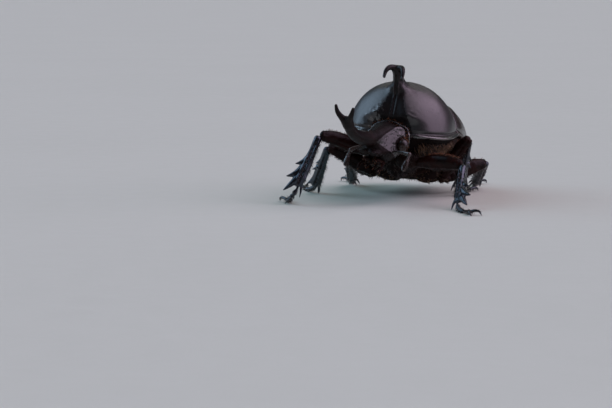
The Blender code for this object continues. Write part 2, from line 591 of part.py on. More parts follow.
def main():
    for obj in list(bpy.data.objects):
        bpy.data.objects.remove(obj, do_unlink=True)
    root = bpy.data.objects.new("beetle", None)
    bpy.context.scene.collection.objects.link(root)
    shell = material("pronotum_shell", (0.022, 0.017, 0.020), 0.20)
    wing = material("wing_case", (0.030, 0.012, 0.009), 0.24)
    horn = material("horn_black", (0.014, 0.012, 0.013), 0.26)
    limb = material("limb_black", (0.016, 0.015, 0.018), 0.28)
    belly = material("belly_brown", (0.060, 0.022, 0.012), 0.38)
    eye = material("eye_black", (0.006, 0.006, 0.007), 0.08)
    feeler = material("feeler_brown", (0.060, 0.020, 0.012), 0.32)

    ground = ground_cutter()
    fore_coxae = [n for n in LEGS if LEGS[n]["fore"]]
    hind_coxae = [n for n in LEGS if not LEGS[n]["fore"]]
    horn_cut = lambda p: (p[:, 1] * 0.62 - (p[:, 2] - 8.95) * 0.62 + 10.55 * 0.62) / 0.877    # plane under the horn's root

    def head_clear(p, frame, grow):
        return head_form(to_frame(HEAD, to_world(frame, p))) - grow

    def pronotum(p):
        d = smax(prothorax(p), p[:, 1] + 0.12, 0.5)
        d = smax(d, -(horn_cut(p) + 0.16), 0.02)
        d = smax(d, -head_clear(p, FORE, GAP), 0.05)
        q = to_frame(HEAD, to_world(FORE, p))
        for s in (-1, 1):
            d = smax(d, -eye_form(q, s, GAP), 0.05)
        w = to_world(FORE, p)
        for n in fore_coxae:
            d = smax(d, -coxa_form(w, n, GAP), 0.05)
        return d

    def thoracic_horn(p):
        d = smin(pronotum_dome(p), thorax_horn_form(p), 2.4)
        return smax(d, horn_cut(p) + 0.16, 0.02)

    add("pronotum", "pronotum", pronotum, (-10.4, -14.2, -7.6), (10.4, 0.6, 12.6), 0.42, FORE, shell, root)
    add("thoracic_horn", "thoracic_horn", thoracic_horn, (-4.5, -16.2, 7.5), (4.5, -8.0, 14.6), 0.24, FORE, horn, root)

    cut = lambda p: -(p[:, 1] + 6.9)     # plane across the root of the head's horn

    def head(p):
        d = smax(head_form(p), cut(p) + 0.16, 0.02)
        for s in (-1, 1):
            d = smax(d, -eye_form(p, s, 0.30), 0.05)
        return d

    add("head", "head", head, (-5.2, -8.2, -6.0), (5.2, 3.2, 3.2), 0.30, HEAD, shell, root)
    add("cephalic_horn", "cephalic_horn", lambda p: smax(head_form(p), -(cut(p) - 0.16), 0.02),
        (-3.4, -21.0, -3.8), (3.4, -6.2, 5.0), 0.26, HEAD, horn, root)
    for side, word in ((1, "left"), (-1, "right")):
        c = EYE_C * (side, 1, 1)
        add(f"eye_{word}", "eye", lambda p, side=side: eye_form(p, side), c - 1.8, c + 1.8, 0.22, HEAD, eye, root)
        form = antenna_form(side)
        clear = lambda p, form=form: smax(form(p), -(head_form(p) - GAP), 0.05)
        low, high = around([(side * 2.2, -5.6, -7.8), (side * 7.6, -2.4, -1.6)], 0.3)
        add(f"antenna_{word}", "antenna", clear, low, high, 0.17, HEAD, feeler, root)
    add("mouthparts", "mouthparts", lambda p: smax(mouth_form(p), -(head_form(p) - GAP), 0.05),
        (-3.2, -6.8, -7.6), (3.2, -0.8, -3.6), 0.20, HEAD, feeler, root)

    for side, word in ((1, "left"), (-1, "right")):
        low, high = around([(0, 0, -0.2), (side * 10.2, 24.2, 10.2)], 0.3)
        add(f"elytron_{word}", "elytron", lambda p, side=side: elytron_form(p, side), low, high, 0.34, HIND, wing, root)
    add("scutellum", "scutellum", scutellum_form, (-2.4, -0.3, 6.0), (2.4, 4.0, 10.4), 0.24, HIND, wing, root)

    def trunk(p, low, high):
        d = trunk_form(p)
        d = smax(d, smax(low - p[:, 1], p[:, 1] - high, 0.3), 0.3)
        d = smax(d, -fore_clear(p), 0.2) if low < 5 else d
        w = to_world(HIND, p)
        for n in hind_coxae:
            d = smax(d, -coxa_form(w, n, GAP), 0.05)
        return d

    add("metathorax", "metathorax", lambda p: trunk(p, 0.3, 9.3), (-9.8, -0.2, -7.2), (9.8, 9.9, 8.0), 0.42, HIND, belly, root)
    add("abdomen", "abdomen", lambda p: trunk(p, 9.62, 20.2), (-9.8, 9.2, -7.0), (9.8, 20.8, 8.0), 0.42, HIND, belly, root)
    add("pygidium", "pygidium", lambda p: trunk(p, 20.52, 26.0), (-8.2, 20.0, -5.0), (8.2, 25.2, 6.0), 0.36, HIND, belly, root)

    for name, l in LEGS.items():
        centre = to_world(l["region"], l["coxa"])
        hip = hip_point(l)

        def body_form(p, l=l):
            q = to_frame(l["region"], p)
            return prothorax(q) if l["fore"] else np.minimum(trunk_form(q), elytra_outer(q))

        def coxa(p, name=name):
            return coxa_form(p, name)

        add(f"coxa_{name}", "coxa", coxa, centre - 4.0, centre + 4.0, 0.34, WORLD, limb, root)
        femur, tibia, tarsus = femur_form(l), tibia_form(l), tarsus_form(l)

        def femur_clear(p, name=name, femur=femur):
            d = smax(femur(p), -coxa_form(p, name, GAP), 0.05)
            d = smax(d, -(body_form(p) - GAP), 0.05)
            q = to_frame(HEAD, p)
            return smax(d, -(head_form(q) - GAP), 0.05) if LEGS[name]["fore"] else d

        low, high = around([hip, l["knee"]], 2.2)
        add(f"femur_{name}", "femur", femur_clear, low, high, 0.30, WORLD, limb, root)
        low, high = around([l["knee"], l["ankle"]], 3.0)
        add(f"tibia_{name}", "tibia", lambda p, a=tibia, b=femur: smax(a(p), -(b(p) - GAP), 0.05), low, high, 0.26, WORLD, limb, root)
        low, high = around(tarsus_points(l), 3.2)
        low[2] = -0.5
        foot = add(f"tarsus_{name}", "tarsus", lambda p, a=tarsus, b=tibia: smax(a(p), -(b(p) - GAP), 0.05), low, high, 0.19, WORLD, limb, root)
        sole = foot.modifiers.new("Sole", "BOOLEAN")
        sole.operation, sole.object, sole.solver = "DIFFERENCE", ground, "EXACT"


main()
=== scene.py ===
"""The looks of a male Xylotrupes rhinoceros beetle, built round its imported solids.

The body is a set of smooth closed forms given by named sizes and functions, in millimetres, in the frame of the body
region that carries them. Here the same forms get their fine relief (beads, grooves, keels, plates, spines), are skinned
finely, coloured with procedural chitin, and set with bristles. World frame: +Z up, the beetle looks towards -Y.
"""

import json
import math
from concurrent.futures import ThreadPoolExecutor

import bpy
import numpy as np
from mathutils import Matrix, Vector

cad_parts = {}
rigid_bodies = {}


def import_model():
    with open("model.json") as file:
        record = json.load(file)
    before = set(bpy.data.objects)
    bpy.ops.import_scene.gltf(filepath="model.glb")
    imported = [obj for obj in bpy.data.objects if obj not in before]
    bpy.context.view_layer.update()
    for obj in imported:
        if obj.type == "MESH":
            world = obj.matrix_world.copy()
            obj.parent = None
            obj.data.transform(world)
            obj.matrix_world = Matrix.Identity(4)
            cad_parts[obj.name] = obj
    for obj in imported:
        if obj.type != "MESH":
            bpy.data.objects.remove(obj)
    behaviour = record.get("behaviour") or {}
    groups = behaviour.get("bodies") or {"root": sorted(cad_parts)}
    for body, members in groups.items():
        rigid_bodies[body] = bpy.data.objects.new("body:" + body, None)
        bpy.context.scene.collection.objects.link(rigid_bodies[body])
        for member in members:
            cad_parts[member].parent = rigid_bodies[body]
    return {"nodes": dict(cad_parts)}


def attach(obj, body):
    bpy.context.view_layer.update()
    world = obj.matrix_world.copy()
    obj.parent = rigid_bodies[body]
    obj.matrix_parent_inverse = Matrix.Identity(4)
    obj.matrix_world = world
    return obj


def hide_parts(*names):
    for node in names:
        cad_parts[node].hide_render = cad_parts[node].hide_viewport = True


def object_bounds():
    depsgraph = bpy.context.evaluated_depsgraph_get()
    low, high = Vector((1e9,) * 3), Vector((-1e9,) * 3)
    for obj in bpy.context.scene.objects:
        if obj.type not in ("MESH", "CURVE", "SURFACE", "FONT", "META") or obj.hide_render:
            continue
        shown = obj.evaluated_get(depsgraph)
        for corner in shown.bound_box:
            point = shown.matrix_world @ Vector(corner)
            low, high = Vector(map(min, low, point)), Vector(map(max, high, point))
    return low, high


for start in list(bpy.data.objects):
    bpy.data.objects.remove(start)
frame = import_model()
CAD_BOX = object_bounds()

MM = 0.001

# ------------------------------------------------------------------ driving dimensions (mm, degrees)
STAND_HEIGHT = 10.0        # waist joint above the floor
PRO_PITCH, PRO_ROLL, PRO_YAW = 10.0, 5.0, 11.5      # fore body: nose up, leaning and turned to its right
HIND_PITCH, HIND_ROLL, HIND_YAW = 8.0, 3.0, 1.5     # hind body
HEAD_ROLL, HEAD_YAW = 5.7, 10.8                     # head, on top of the fore body
ORIGIN_X, ORIGIN_Y = -4.00, -0.773                   # middle of the whole model's box, seen from above

PRO_LENGTH = 12.6          # pronotum along the middle
PRO_HALF_WIDTH = 9.85
PRO_WIDEST_Y = -5.6
PRO_FRONT_REACH = 7.85      # the dome's virtual front pole, ahead of its widest place
GAP = 0.32                 # clear space between neighbouring solids
WING_WALL = 0.62           # thickness of a wing case


# ------------------------------------------------------------------ small maths
def rotation(pitch, roll, yaw):
    """Columns are the region's x, y, z axes in the world: roll leans to +X, pitch lifts the nose, yaw turns it to -X."""
    p, r, y = (math.radians(v) for v in (pitch, roll, -yaw))
    rr = np.array([[math.cos(r), 0, math.sin(r)], [0, 1, 0], [-math.sin(r), 0, math.cos(r)]])
    rp = np.array([[1, 0, 0], [0, math.cos(p), math.sin(p)], [0, -math.sin(p), math.cos(p)]])
    ry = np.array([[math.cos(y), -math.sin(y), 0], [math.sin(y), math.cos(y), 0], [0, 0, 1]])
    return ry @ rp @ rr


def unit(v):
    v = np.asarray(v, float)
    return v / max(np.linalg.norm(v), 1e-12)


def natural_spline(xs, ys):
    """A C2 curve through the stations (xs, ys); held straight beyond its ends."""
    xs, ys = np.asarray(xs, float), np.asarray(ys, float)
    n = len(xs)
    h = np.diff(xs)
    a = np.zeros((n, n))
    b = np.zeros(n)
    a[0, 0] = a[-1, -1] = 1
    for i in range(1, n - 1):
        a[i, i - 1:i + 2] = h[i - 1], 2 * (h[i - 1] + h[i]), h[i]
        b[i] = 6 * ((ys[i + 1] - ys[i]) / h[i] - (ys[i] - ys[i - 1]) / h[i - 1])
    m = np.linalg.solve(a, b)

    def f(x):
        x = np.clip(x, xs[0], xs[-1])
        i = np.clip(np.searchsorted(xs, x) - 1, 0, n - 2)
        t, u, hh = x - xs[i], xs[i + 1] - x, h[i]
        return (m[i] * u ** 3 + m[i + 1] * t ** 3) / (6 * hh) + (ys[i] / hh - m[i] * hh / 6) * u + (ys[i + 1] / hh - m[i + 1] * hh / 6) * t

    return f


def smin(a, b, k):
    h = np.maximum(k - np.abs(a - b), 0) / k
    return np.minimum(a, b) - h * h * h * k / 6


def smax(a, b, k):
    return -smin(-a, -b, k)


def ellipsoid(p, centre, radii, turn=None):
    q = p - np.asarray(centre, float)
    if turn is not None:
        q = q @ turn
    r = np.asarray(radii, float)
    k0 = np.sqrt(((q / r) ** 2).sum(1)) + 1e-9
    k1 = np.sqrt(((q / (r * r)) ** 2).sum(1)) + 1e-9
    return k0 * (k0 - 1) / k1


class Tube:
    """A round-ended swept form through points: half-width a across, half-height b towards `up`."""

    def __init__(self, points, a, b=None, up=(0, 0, 1), n=22):
        points = np.asarray(points, float)
        s = np.concatenate([[0], np.cumsum(np.linalg.norm(np.diff(points, axis=0), axis=1))])
        t = np.linspace(0, s[-1], n)
        self.P = np.stack([natural_spline(s, points[:, i])(t) for i in range(3)], 1) if len(points) > 2 else \
            points[0] + (points[1] - points[0]) * (t / s[-1])[:, None]
        b = a if b is None else b
        self.a = np.interp(t, np.linspace(0, s[-1], len(a)) if len(a) != len(points) else s, a)
        self.b = np.interp(t, np.linspace(0, s[-1], len(b)) if len(b) != len(points) else s, b)
        d = np.gradient(self.P, axis=0)
        self.T = d / np.linalg.norm(d, axis=1)[:, None]
        side = np.cross(self.T, np.asarray(up, float))
        self.S = side / np.linalg.norm(side, axis=1)[:, None]
        self.U = np.cross(self.S, self.T)
        reach = max(np.max(self.a), np.max(self.b))
        self.low, self.high = self.P.min(0) - reach, self.P.max(0) + reach

    def __call__(self, p):
        """Exact near the form; further off, a smaller distance that is still far enough to blend nothing."""
        away = np.linalg.norm(np.maximum(np.maximum(self.low - p, p - self.high), 0), axis=1)
        near = away < 2.8
        if not near.all():
            away[near] = self.near(p[near]) if near.any() else away[near]
            return away
        return self.near(p)

    def near(self, p):
        best = np.full(len(p), 1e18)
        at = np.zeros(len(p))
        for i in range(len(self.P) - 1):
            a, ab = self.P[i], self.P[i + 1] - self.P[i]
            t = np.clip((p - a) @ ab / (ab @ ab), 0, 1)
            q = p - a - t[:, None] * ab
            d2 = np.einsum("ij,ij->i", q, q)
            better = d2 < best
            best[better] = d2[better]
            at[better] = i + t[better]
        i = np.minimum(at.astype(int), len(self.P) - 2)
        f = (at - i)[:, None]
        mix = lambda v: v[i] * (1 - f) + v[i + 1] * f
        q = p - mix(self.P)
        a = self.a[i] * (1 - f[:, 0]) + self.a[i + 1] * f[:, 0]
        b = self.b[i] * (1 - f[:, 0]) + self.b[i + 1] * f[:, 0]
        c = np.minimum(a, b)
        u = np.einsum("ij,ij->i", q, mix(self.S))
        v = np.einsum("ij,ij->i", q, mix(self.U))
        w = np.einsum("ij,ij->i", q, mix(self.T))
        k0 = np.sqrt((u / a) ** 2 + (v / b) ** 2 + (w / c) ** 2) + 1e-9
        k1 = np.sqrt((u / a ** 2) ** 2 + (v / b ** 2) ** 2 + (w / c ** 2) ** 2) + 1e-9
        return k0 * (k0 - 1) / k1


# ------------------------------------------------------------------ frames of the body regions
WAIST = np.array([0, 0, STAND_HEIGHT])
FORE = (rotation(PRO_PITCH, PRO_ROLL, PRO_YAW), WAIST)
HIND = (rotation(HIND_PITCH, HIND_ROLL, HIND_YAW), WAIST)
HEAD = (FORE[0] @ rotation(0, HEAD_ROLL, HEAD_YAW), FORE[0] @ np.array([0, -PRO_LENGTH, 0]) + WAIST)
WORLD = (np.eye(3), np.zeros(3))


def to_world(frame, p):
    return np.asarray(p, float) @ frame[0].T + frame[1]


def to_frame(frame, p):
    return (np.asarray(p, float) - frame[1]) @ frame[0]


# ------------------------------------------------------------------ fore body
pro_margin = natural_spline((-13.5, -8.5, -4.5, 0.5), (-0.25, 0.45, 1.15, 2.25))     # height of the side bead
pro_crest = natural_spline((-13.5, -9, -6, -3, 0.5), (10.6, 11.0, 10.9, 10.2, 8.7))
pro_keel = natural_spline((-13.5, -9, -4, 0.5), (-5.2, -6.1, -6.4, -5.9))


def pronotum_dome(p):
    x, y, z = np.abs(p[:, 0]), np.minimum(p[:, 1], 2.0), p[:, 2]
    front = np.maximum(PRO_WIDEST_Y - y, 0) / PRO_FRONT_REACH
    w = PRO_HALF_WIDTH * (1 - 0.075 * (np.maximum(y - PRO_WIDEST_Y, 0) / 5.6) ** 2)
    zm = pro_margin(y)
    upper = z > zm
    rise = np.where(upper, (z - zm) / (pro_crest(y) - zm), (zm - z) / (zm - pro_keel(y)))
    plan = ((x / w) ** 2.22 + front ** 2.22) ** (1 / 2.22)
    k = np.where(upper, 2.22, 1.18)
    g = (plan ** k + rise ** k) ** (1 / k) + 1e-9
    q = np.sqrt(x * x + (front * PRO_FRONT_REACH) ** 2 + (z - zm) ** 2)
    return (1 - 1 / g) * np.maximum(q, 0.5)


THORAX_HORN = Tube([(0, -8.2, 7.2), (0, -10.3, 9.2), (0, -12.0, 10.7), (0, -13.2, 11.9), (0, -13.7, 12.4)],
                   (2.8, 1.55, 0.95, 0.90, 0.8), (2.5, 1.65, 1.00, 0.72, 0.55))
THORAX_KEEL = Tube([(0, -10.2, 3.2), (0, -10.6, 6.0), (0, -11.4, 8.5), (0, -12.5, 10.5)],
                   (2.3, 1.5, 0.9, 0.7), (1.9, 1.5, 1.0, 0.6), up=(0, -1, 0.3))
THORAX_PRONGS = [Tube([(s * 0.1, -13.2, 11.95), (s * 0.8, -14.1, 12.45), (s * 1.35, -14.9, 12.15), (s * 1.65, -15.4, 11.35), (s * 1.68, -15.6, 10.5)],
                      (0.66, 0.55, 0.45, 0.36, 0.26)) for s in (-1, 1)]


def thorax_horn_form(p):
    d = smin(THORAX_HORN(p), THORAX_KEEL(p), 1.6)
    for prong in THORAX_PRONGS:
        d = smin(d, prong(p), 0.7)
    return d


def skull(p):
    """Head frame: without the horn."""
    q = p.copy()
    q[:, 0] = np.abs(q[:, 0])
    d = ellipsoid(q, (0, -1.3, -0.9), (3.75, 3.9, 3.3))
    d = smin(d, ellipsoid(q, (0, -2.2, -3.0), (2.3, 3.0, 1.9)), 1.0)
    d = smin(d, ellipsoid(q, (0, -4.1, -2.6), (2.5, 2.6, 1.5)), 1.6)
    d = smin(d, ellipsoid(q, (0.95, -6.0, -3.5), (1.25, 1.25, 0.55)), 0.8)       # two-lobed clypeus
    d = smin(d, ellipsoid(q, (3.65, -2.7, -1.5), (0.95, 1.5, 0.42)), 0.7)        # canthus before the eye
    return d


HEAD_HORN = Tube([(0, -2.6, -0.2), (0, -5.6, -0.9), (0, -9.2, -1.55), (0, -12.6, -1.45), (0, -15.3, -0.55), (0, -17.0, 0.6)],
                 (2.0, 1.5, 1.12, 0.98, 0.92, 0.9), (2.0, 1.45, 1.15, 1.0, 0.9, 0.75), n=26)
HEAD_PRONGS = [Tube([(s * 0.15, -16.4, 0.15), (s * 0.85, -17.8, 1.1), (s * 1.45, -18.7, 1.95), (s * 1.73, -19.1, 2.85)],
                    (0.72, 0.54, 0.40, 0.26)) for s in (-1, 1)]


def head_form(p):
    d = smin(skull(p), HEAD_HORN(p), 1.5)
    for prong in HEAD_PRONGS:
        d = smin(d, prong(p), 0.8)
    return d


EYE_C, EYE_R = np.array([3.60, -1.20, -1.05]), np.array([1.05, 1.15, 1.2])


def eye_form(p, side, grow=0.0):
    return ellipsoid(p, EYE_C * (side, 1, 1), EYE_R) - grow


def prothorax(p):
    d = smin(pronotum_dome(p), thorax_horn_form(p), 2.4)
    return smax(d, -PRO_LENGTH - p[:, 1] - 2.0 * np.maximum(p[:, 2] - 3.4, 0), 0.5)      # the neck opening's plane


# ------------------------------------------------------------------ hind body
body_margin = natural_spline((-0.5, 5, 12, 18, 24.5), (2.3, 1.5, 0.9, 0.8, 1.4))
ely_w = natural_spline((-0.5, 2.2, 6, 11, 15.5), (8.8, 9.7, 10.25, 10.4, 10.0))
ely_top = natural_spline((-0.5, 4, 9, 14, 18.5, 24.0), (8.3, 9.3, 9.5, 8.8, 7.3, 4.4))


def plan_end(y, start, length):
    return np.maximum(y - start, 0) / length


def elytra_outer(p):
    x, y, z = np.abs(p[:, 0]), p[:, 1], p[:, 2]
    zm = body_margin(y)
    back = plan_end(y, 12.5, 11.1)
    up = np.maximum(z - zm, 0) / (ely_top(y) - zm)
    down = np.maximum(zm - z, 0) / 6.0
    n = 2.15
    g = ((x / ely_w(y)) ** n + back ** 2.4 + np.where(z > zm, up, down) ** n) ** (1 / n) + 1e-9
    q = np.sqrt(x * x + (back * 11.1) ** 2 + (z - zm) ** 2)
    return (1 - 1 / g) * np.maximum(q, 0.5)


trunk_w = natural_spline((-0.5, 4, 11, 16), (8.1, 9.2, 9.65, 9.2))
trunk_top = natural_spline((-0.5, 5, 10, 16, 22, 25), (6.2, 7.2, 7.3, 6.3, 4.2, 2.6))
trunk_low = natural_spline((-0.5, 4, 8, 12, 16, 20, 25), (-5.4, -6.3, -6.3, -5.8, -5.0, -3.7, -1.6))


def trunk_form(p):
    x, y, z = np.abs(p[:, 0]), p[:, 1], p[:, 2]
    zm = body_margin(y)
    back = plan_end(y, 12.5, 11.9)
    up = np.maximum(z - zm, 0) / (trunk_top(y) - zm)
    down = np.maximum(zm - z, 0) / (zm - trunk_low(y))
    n = 2.1
    g = ((x / trunk_w(y)) ** n + back ** 2.6 + np.where(z > zm, up, down) ** n) ** (1 / n) + 1e-9
    q = np.sqrt(x * x + (back * 11.9) ** 2 + (z - zm) ** 2)
    d = (1 - 1 / g) * np.maximum(q, 0.5)
    d = smax(d, elytra_outer(p) + WING_WALL + GAP - 2.0 * np.maximum(zm - z, 0), 0.3)      # under the wing cases
    return smax(d, 0.25 - y, 0.5)


def fore_clear(p):
    """Hind-frame points: the space that the fore body's rear edge takes when it turns."""
    q = to_frame(FORE, to_world(HIND, p))
    return smax(prothorax(q), q[:, 1] + 0.12, 0.5) - GAP


def scutellum_zone(p):
    """Negative inside the small triangle between the wing-case bases."""
    x, y = np.abs(p[:, 0]), p[:, 1]
    return np.maximum((x - 1.75 * (1 - (y - 0.2) / 3.1)) * 0.87, 0.2 - y)


def scutellum_form(p):
    d = smax(elytra_outer(p) + 0.1, scutellum_zone(p), 0.3)
    d = smax(d, -(elytra_outer(p) + 1.1), 0.3)
    return smax(d, -fore_clear(p), 0.1)


def elytron_form(p, side):
    d = elytra_outer(p)
    d = smax(d, 0.25 - p[:, 1], 0.6)
    d = smax(d, -side * p[:, 0] + 0.16, 0.25)
    d = smax(d, body_margin(p[:, 1]) + 0.18 - p[:, 2], 0.3)
    d = smax(d, -(trunk_form(p) - GAP), 0.2)
    d = smax(d, -fore_clear(p), 0.2)
    return smax(d, -(smax(elytra_outer(p) - 0.5, scutellum_zone(p), 0.2) - GAP), 0.2)


# ------------------------------------------------------------------ legs (world, mm)
# Each leg: region that carries the coxa, coxa centre and radii there, knee, ankle, toe points, outward direction of the shin's teeth.
def leg(region, coxa, radii, knee, ankle, toes, teeth, fore, lift=0.0):
    return dict(region=region, coxa=coxa, radii=radii, knee=np.array(knee, float), ankle=np.array(ankle, float),
                toes=[np.array(t, float) for t in toes], teeth=np.array(teeth, float), fore=fore, lift=lift)


LEGS = {
    "fore_left": leg(FORE, (2.9, -9.4, -3.5), (2.2, 1.6, 1.9), (10.95, -15.2, 7.5), (10.30, -21.4, 1.35),
                     [(10.45, -22.8, 0.75), (10.9, -24.8, 0.42), (11.7, -26.8, 0.42), (12.8, -28.7, 0.45)], (0.9, -0.45, 0.35), True),
    "fore_right": leg(FORE, (-2.9, -9.4, -3.5), (2.2, 1.6, 1.9), (-15.15, -12.9, 12.55), (-18.75, -16.4, 3.35),
                      [(-19.4, -16.6, 2.2), (-20.2, -15.7, 1.1), (-20.8, -14.2, 0.48), (-21.3, -12.4, 0.45)], (-0.9, -0.2, -0.15), True, 1.0),
    "mid_left": leg(HIND, (4.3, 2.6, -5.0), (2.5, 1.25, 1.6), (11.60, -1.0, 11.4), (9.75, 2.6, 2.6),
                    [(9.8, 3.9, 1.5), (10.2, 5.8, 0.6), (10.7, 7.8, 0.42), (11.3, 9.9, 0.45)], (1, -0.2, 0), False),
    "mid_right": leg(HIND, (-4.3, 2.6, -5.0), (2.5, 1.25, 1.6), (-14.85, -1.4, 9.5), (-17.9, 3.6, 1.7),
                     [(-18.5, 4.8, 1.0), (-19.3, 6.5, 0.5), (-20.1, 8.3, 0.42), (-20.8, 10.3, 0.45)], (-1, -0.2, 0.2), False),
    "hind_left": leg(HIND, (4.6, 7.2, -5.1), (3.3, 1.45, 1.5), (14.45, 10.2, 5.7), (12.25, 17.6, 1.45),
                     [(12.0, 19.0, 0.85), (11.9, 21.0, 0.45), (12.1, 23.1, 0.42), (12.6, 25.3, 0.45)], (0.9, 0.3, 0.3), False),
    "hind_right": leg(HIND, (-4.6, 7.2, -5.1), (3.3, 1.45, 1.5), (-12.4, 12.0, 5.9), (-12.3, 19.6, 1.45),
                      [(-12.4, 21.0, 0.85), (-12.6, 23.0, 0.45), (-13.1, 25.0, 0.42), (-13.8, 27.1, 0.45)], (-0.9, 0.3, 0.3), False),
}


def coxa_form(p, which, grow=0.0):
    """World points; the hip piece set into the underside."""
    l = LEGS[which]
    side = 1 if l["coxa"][0] > 0 else -1
    q = to_frame(l["region"], p) - np.array(l["coxa"])
    tilt = math.radians(18) * side
    turn = np.array([[math.cos(tilt), 0, -math.sin(tilt)], [0, 1, 0], [math.sin(tilt), 0, math.cos(tilt)]])
    return ellipsoid(q @ turn, (0, 0, 0), l["radii"]) - grow


def hip_point(l):
    side = 1 if l["coxa"][0] > 0 else -1
    rx, ry, rz = l["radii"]
    return to_world(l["region"], np.array(l["coxa"]) + np.array([side * (rx * 0.80 + 0.75), -0.2 if l["fore"] else 0.1, -0.35 + l["lift"]]))


def leg_axes(a, b, teeth):
    along = unit(b - a)
    out = unit(teeth - along * (teeth @ along))
    return along, out, np.cross(along, out)


def femur_form(l):
    hip, knee = hip_point(l), l["knee"]
    along = unit(knee - hip)
    length = np.linalg.norm(knee - hip)
    bulge = 1.42 if l["fore"] else 1.55
    up = unit(np.array([0, 0, 1]) - along * along[2])
    pts = [hip + along * 0.1, hip + along * length * 0.3 + up * 0.25, hip + along * length * 0.65 + up * 0.30, knee - along * 0.75]
    thigh = Tube(pts, (0.75, 1.0, 1.05, 0.72), (0.85, bulge, bulge * 0.93, 1.0), up=up)
    return lambda p: thigh(p)


def tibia_form(l):
    knee, ankle = l["knee"], l["ankle"]
    along, out, flat = leg_axes(knee, ankle, l["teeth"])
    L = np.linalg.norm(ankle - knee)
    at = lambda s, o=0.0, f=0.0: knee + along * s * L + out * o + flat * f
    d_parts = []
    if l["fore"]:
        blade = Tube([at(0.085, 0.05), at(0.30, 0.0), at(0.6, 0.12), at(0.85, 0.28), at(0.97, 0.25)],
                     (0.62, 0.60, 0.62, 0.60, 0.45), (0.70, 0.66, 0.98, 1.18, 0.90), up=out)
        teeth = [Tube([at(0.50, 0.55), at(0.60, 1.35), at(0.635, 1.85)], (0.50, 0.40, 0.26)),
                 Tube([at(0.70, 0.75), at(0.84, 1.75), at(0.90, 2.45)], (0.60, 0.48, 0.27)),
                 Tube([at(0.86, 0.75), at(1.03, 1.50), at(1.14, 2.05)], (0.62, 0.50, 0.27)),
                 Tube([at(0.93, -0.35), at(1.03, -0.75), at(1.16, -1.0)], (0.42, 0.34, 0.25))]
        blend = 0.55
    else:
        blade = Tube([at(0.09), at(0.35), at(0.7), at(0.93)], (0.62, 0.70, 0.90, 1.0), (0.68, 0.76, 0.98, 1.1), up=out)
        teeth = [Tube([at(0.50, 0.55), at(0.60, 1.35)], (0.45, 0.27)),
                 Tube([at(0.90, 0.75), at(1.02, 1.50)], (0.5, 0.27)),
                 Tube([at(0.92, 0.0, 0.7), at(1.04, 0.1, 1.25)], (0.45, 0.27)),
                 Tube([at(0.92, 0.0, -0.7), at(1.04, 0.1, -1.25)], (0.45, 0.27)),
                 Tube([at(0.92, -0.7), at(1.08, -1.30)], (0.45, 0.27))]
        blend = 0.45

    def form(p):
        d = blade(p)
        for tooth in teeth:
            d = smin(d, tooth(p), blend)
        return smax(d, 0.15 - p[:, 2], 0.05)

    return form


def tarsus_points(l):
    """The four short segments' ends, the long last segment's end, evenly spaced along the toe line."""
    along = unit(l["ankle"] - l["knee"])
    start = l["ankle"] + along * 0.62
    return [start] + l["toes"]


def tarsus_form(l):
    pts = tarsus_points(l)
    s = np.concatenate([[0], np.cumsum([np.linalg.norm(b - a) for a, b in zip(pts, pts[1:])])])
    curve = [natural_spline(s, [q[i] for q in pts]) for i in range(3)]
    at = lambda t: np.array([c(np.array(t * s[-1])) for c in curve])
    stops = (0.0, 0.155, 0.31, 0.465, 0.62, 1.0)
    beads = []
    for i in range(5):
        a, b = at(stops[i]), at(stops[i + 1])
        r = (0.36, 0.50) if i < 4 else (0.31, 0.48)
        beads.append(Tube([a, b - 0.12 * (b - a)], r, r, n=6))
    core = Tube([at(t) for t in np.linspace(0, 0.9, 8)], (0.30,) * 8, n=14)
    tip, before = at(1.0), at(0.9)
    along = unit(tip - before)
    along[2] = 0
    along = unit(along)
    across = np.cross(along, (0, 0, 1))
    claws = []
    for sgn in (-1, 1):
        c = [tip - along * 0.2, tip + along * 0.75 + across * sgn * 0.62, tip + along * 1.55 + across * sgn * 1.02, tip + along * 2.15 + across * sgn * 0.98]
        for q, z in zip(c, (0.46, 0.78, 0.62, 0.19)):
            q[2] = z
        claws.append(Tube(c, (0.33, 0.30, 0.27, 0.25), n=10))

    def form(p):
        d = core(p)
        for bead in beads:
            d = smin(d, bead(p), 0.10)
        for claw in claws:
            d = smin(d, claw(p), 0.25)
        return d

    return form


# ------------------------------------------------------------------ feelers and mouthparts (head frame)
ANTENNA_ELBOW = {1: (6.6, -3.9, -2.45), -1: (-4.9, -4.3, -3.9)}      # the left one is held out, the right one down


def antenna_form(side):
    s = side
    base, elbow = np.array([s * 3.1, -3.3, -2.6]), np.array(ANTENNA_ELBOW[side])
    scape = Tube([base, 0.5 * (base + elbow) + (0, 0, 0.15), elbow], (0.36, 0.33, 0.40), n=10)
    beads = Tube([elbow, elbow + (s * 0.15, -0.25, -0.75), elbow + (s * 0.05, -0.45, -1.35)], (0.34, 0.30, 0.34), n=8)
    club = Tube([elbow + (s * 0.05, -0.45, -1.45), elbow + (-s * 0.05, -0.65, -2.9)], (0.48, 0.50), (0.52, 0.68), up=(0, -1, 0.2), n=8)
    return lambda p: smin(smin(scape(p), beads(p), 0.1), club(p), 0.12)


def mouth_form(p):
    q = p.copy()
    q[:, 0] = np.abs(q[:, 0])
    d = ellipsoid(q, (0, -3.0, -5.0), (1.7, 1.7, 0.75))
    d = smin(d, ellipsoid(q, (1.05, -4.4, -4.85), (0.75, 1.2, 0.5)), 0.4)
    palp = Tube([(1.35, -3.2, -5.1), (2.1, -4.1, -5.5), (2.25, -5.0, -6.1), (2.0, -5.5, -6.8)], (0.34, 0.32, 0.34, 0.30), n=12)
    inner = Tube([(0.55, -3.6, -5.4), (0.75, -4.5, -5.9), (0.7, -5.0, -6.5)], (0.32, 0.30, 0.28), n=8)
    return smin(smin(d, palp(q), 0.25), inner(q), 0.25)


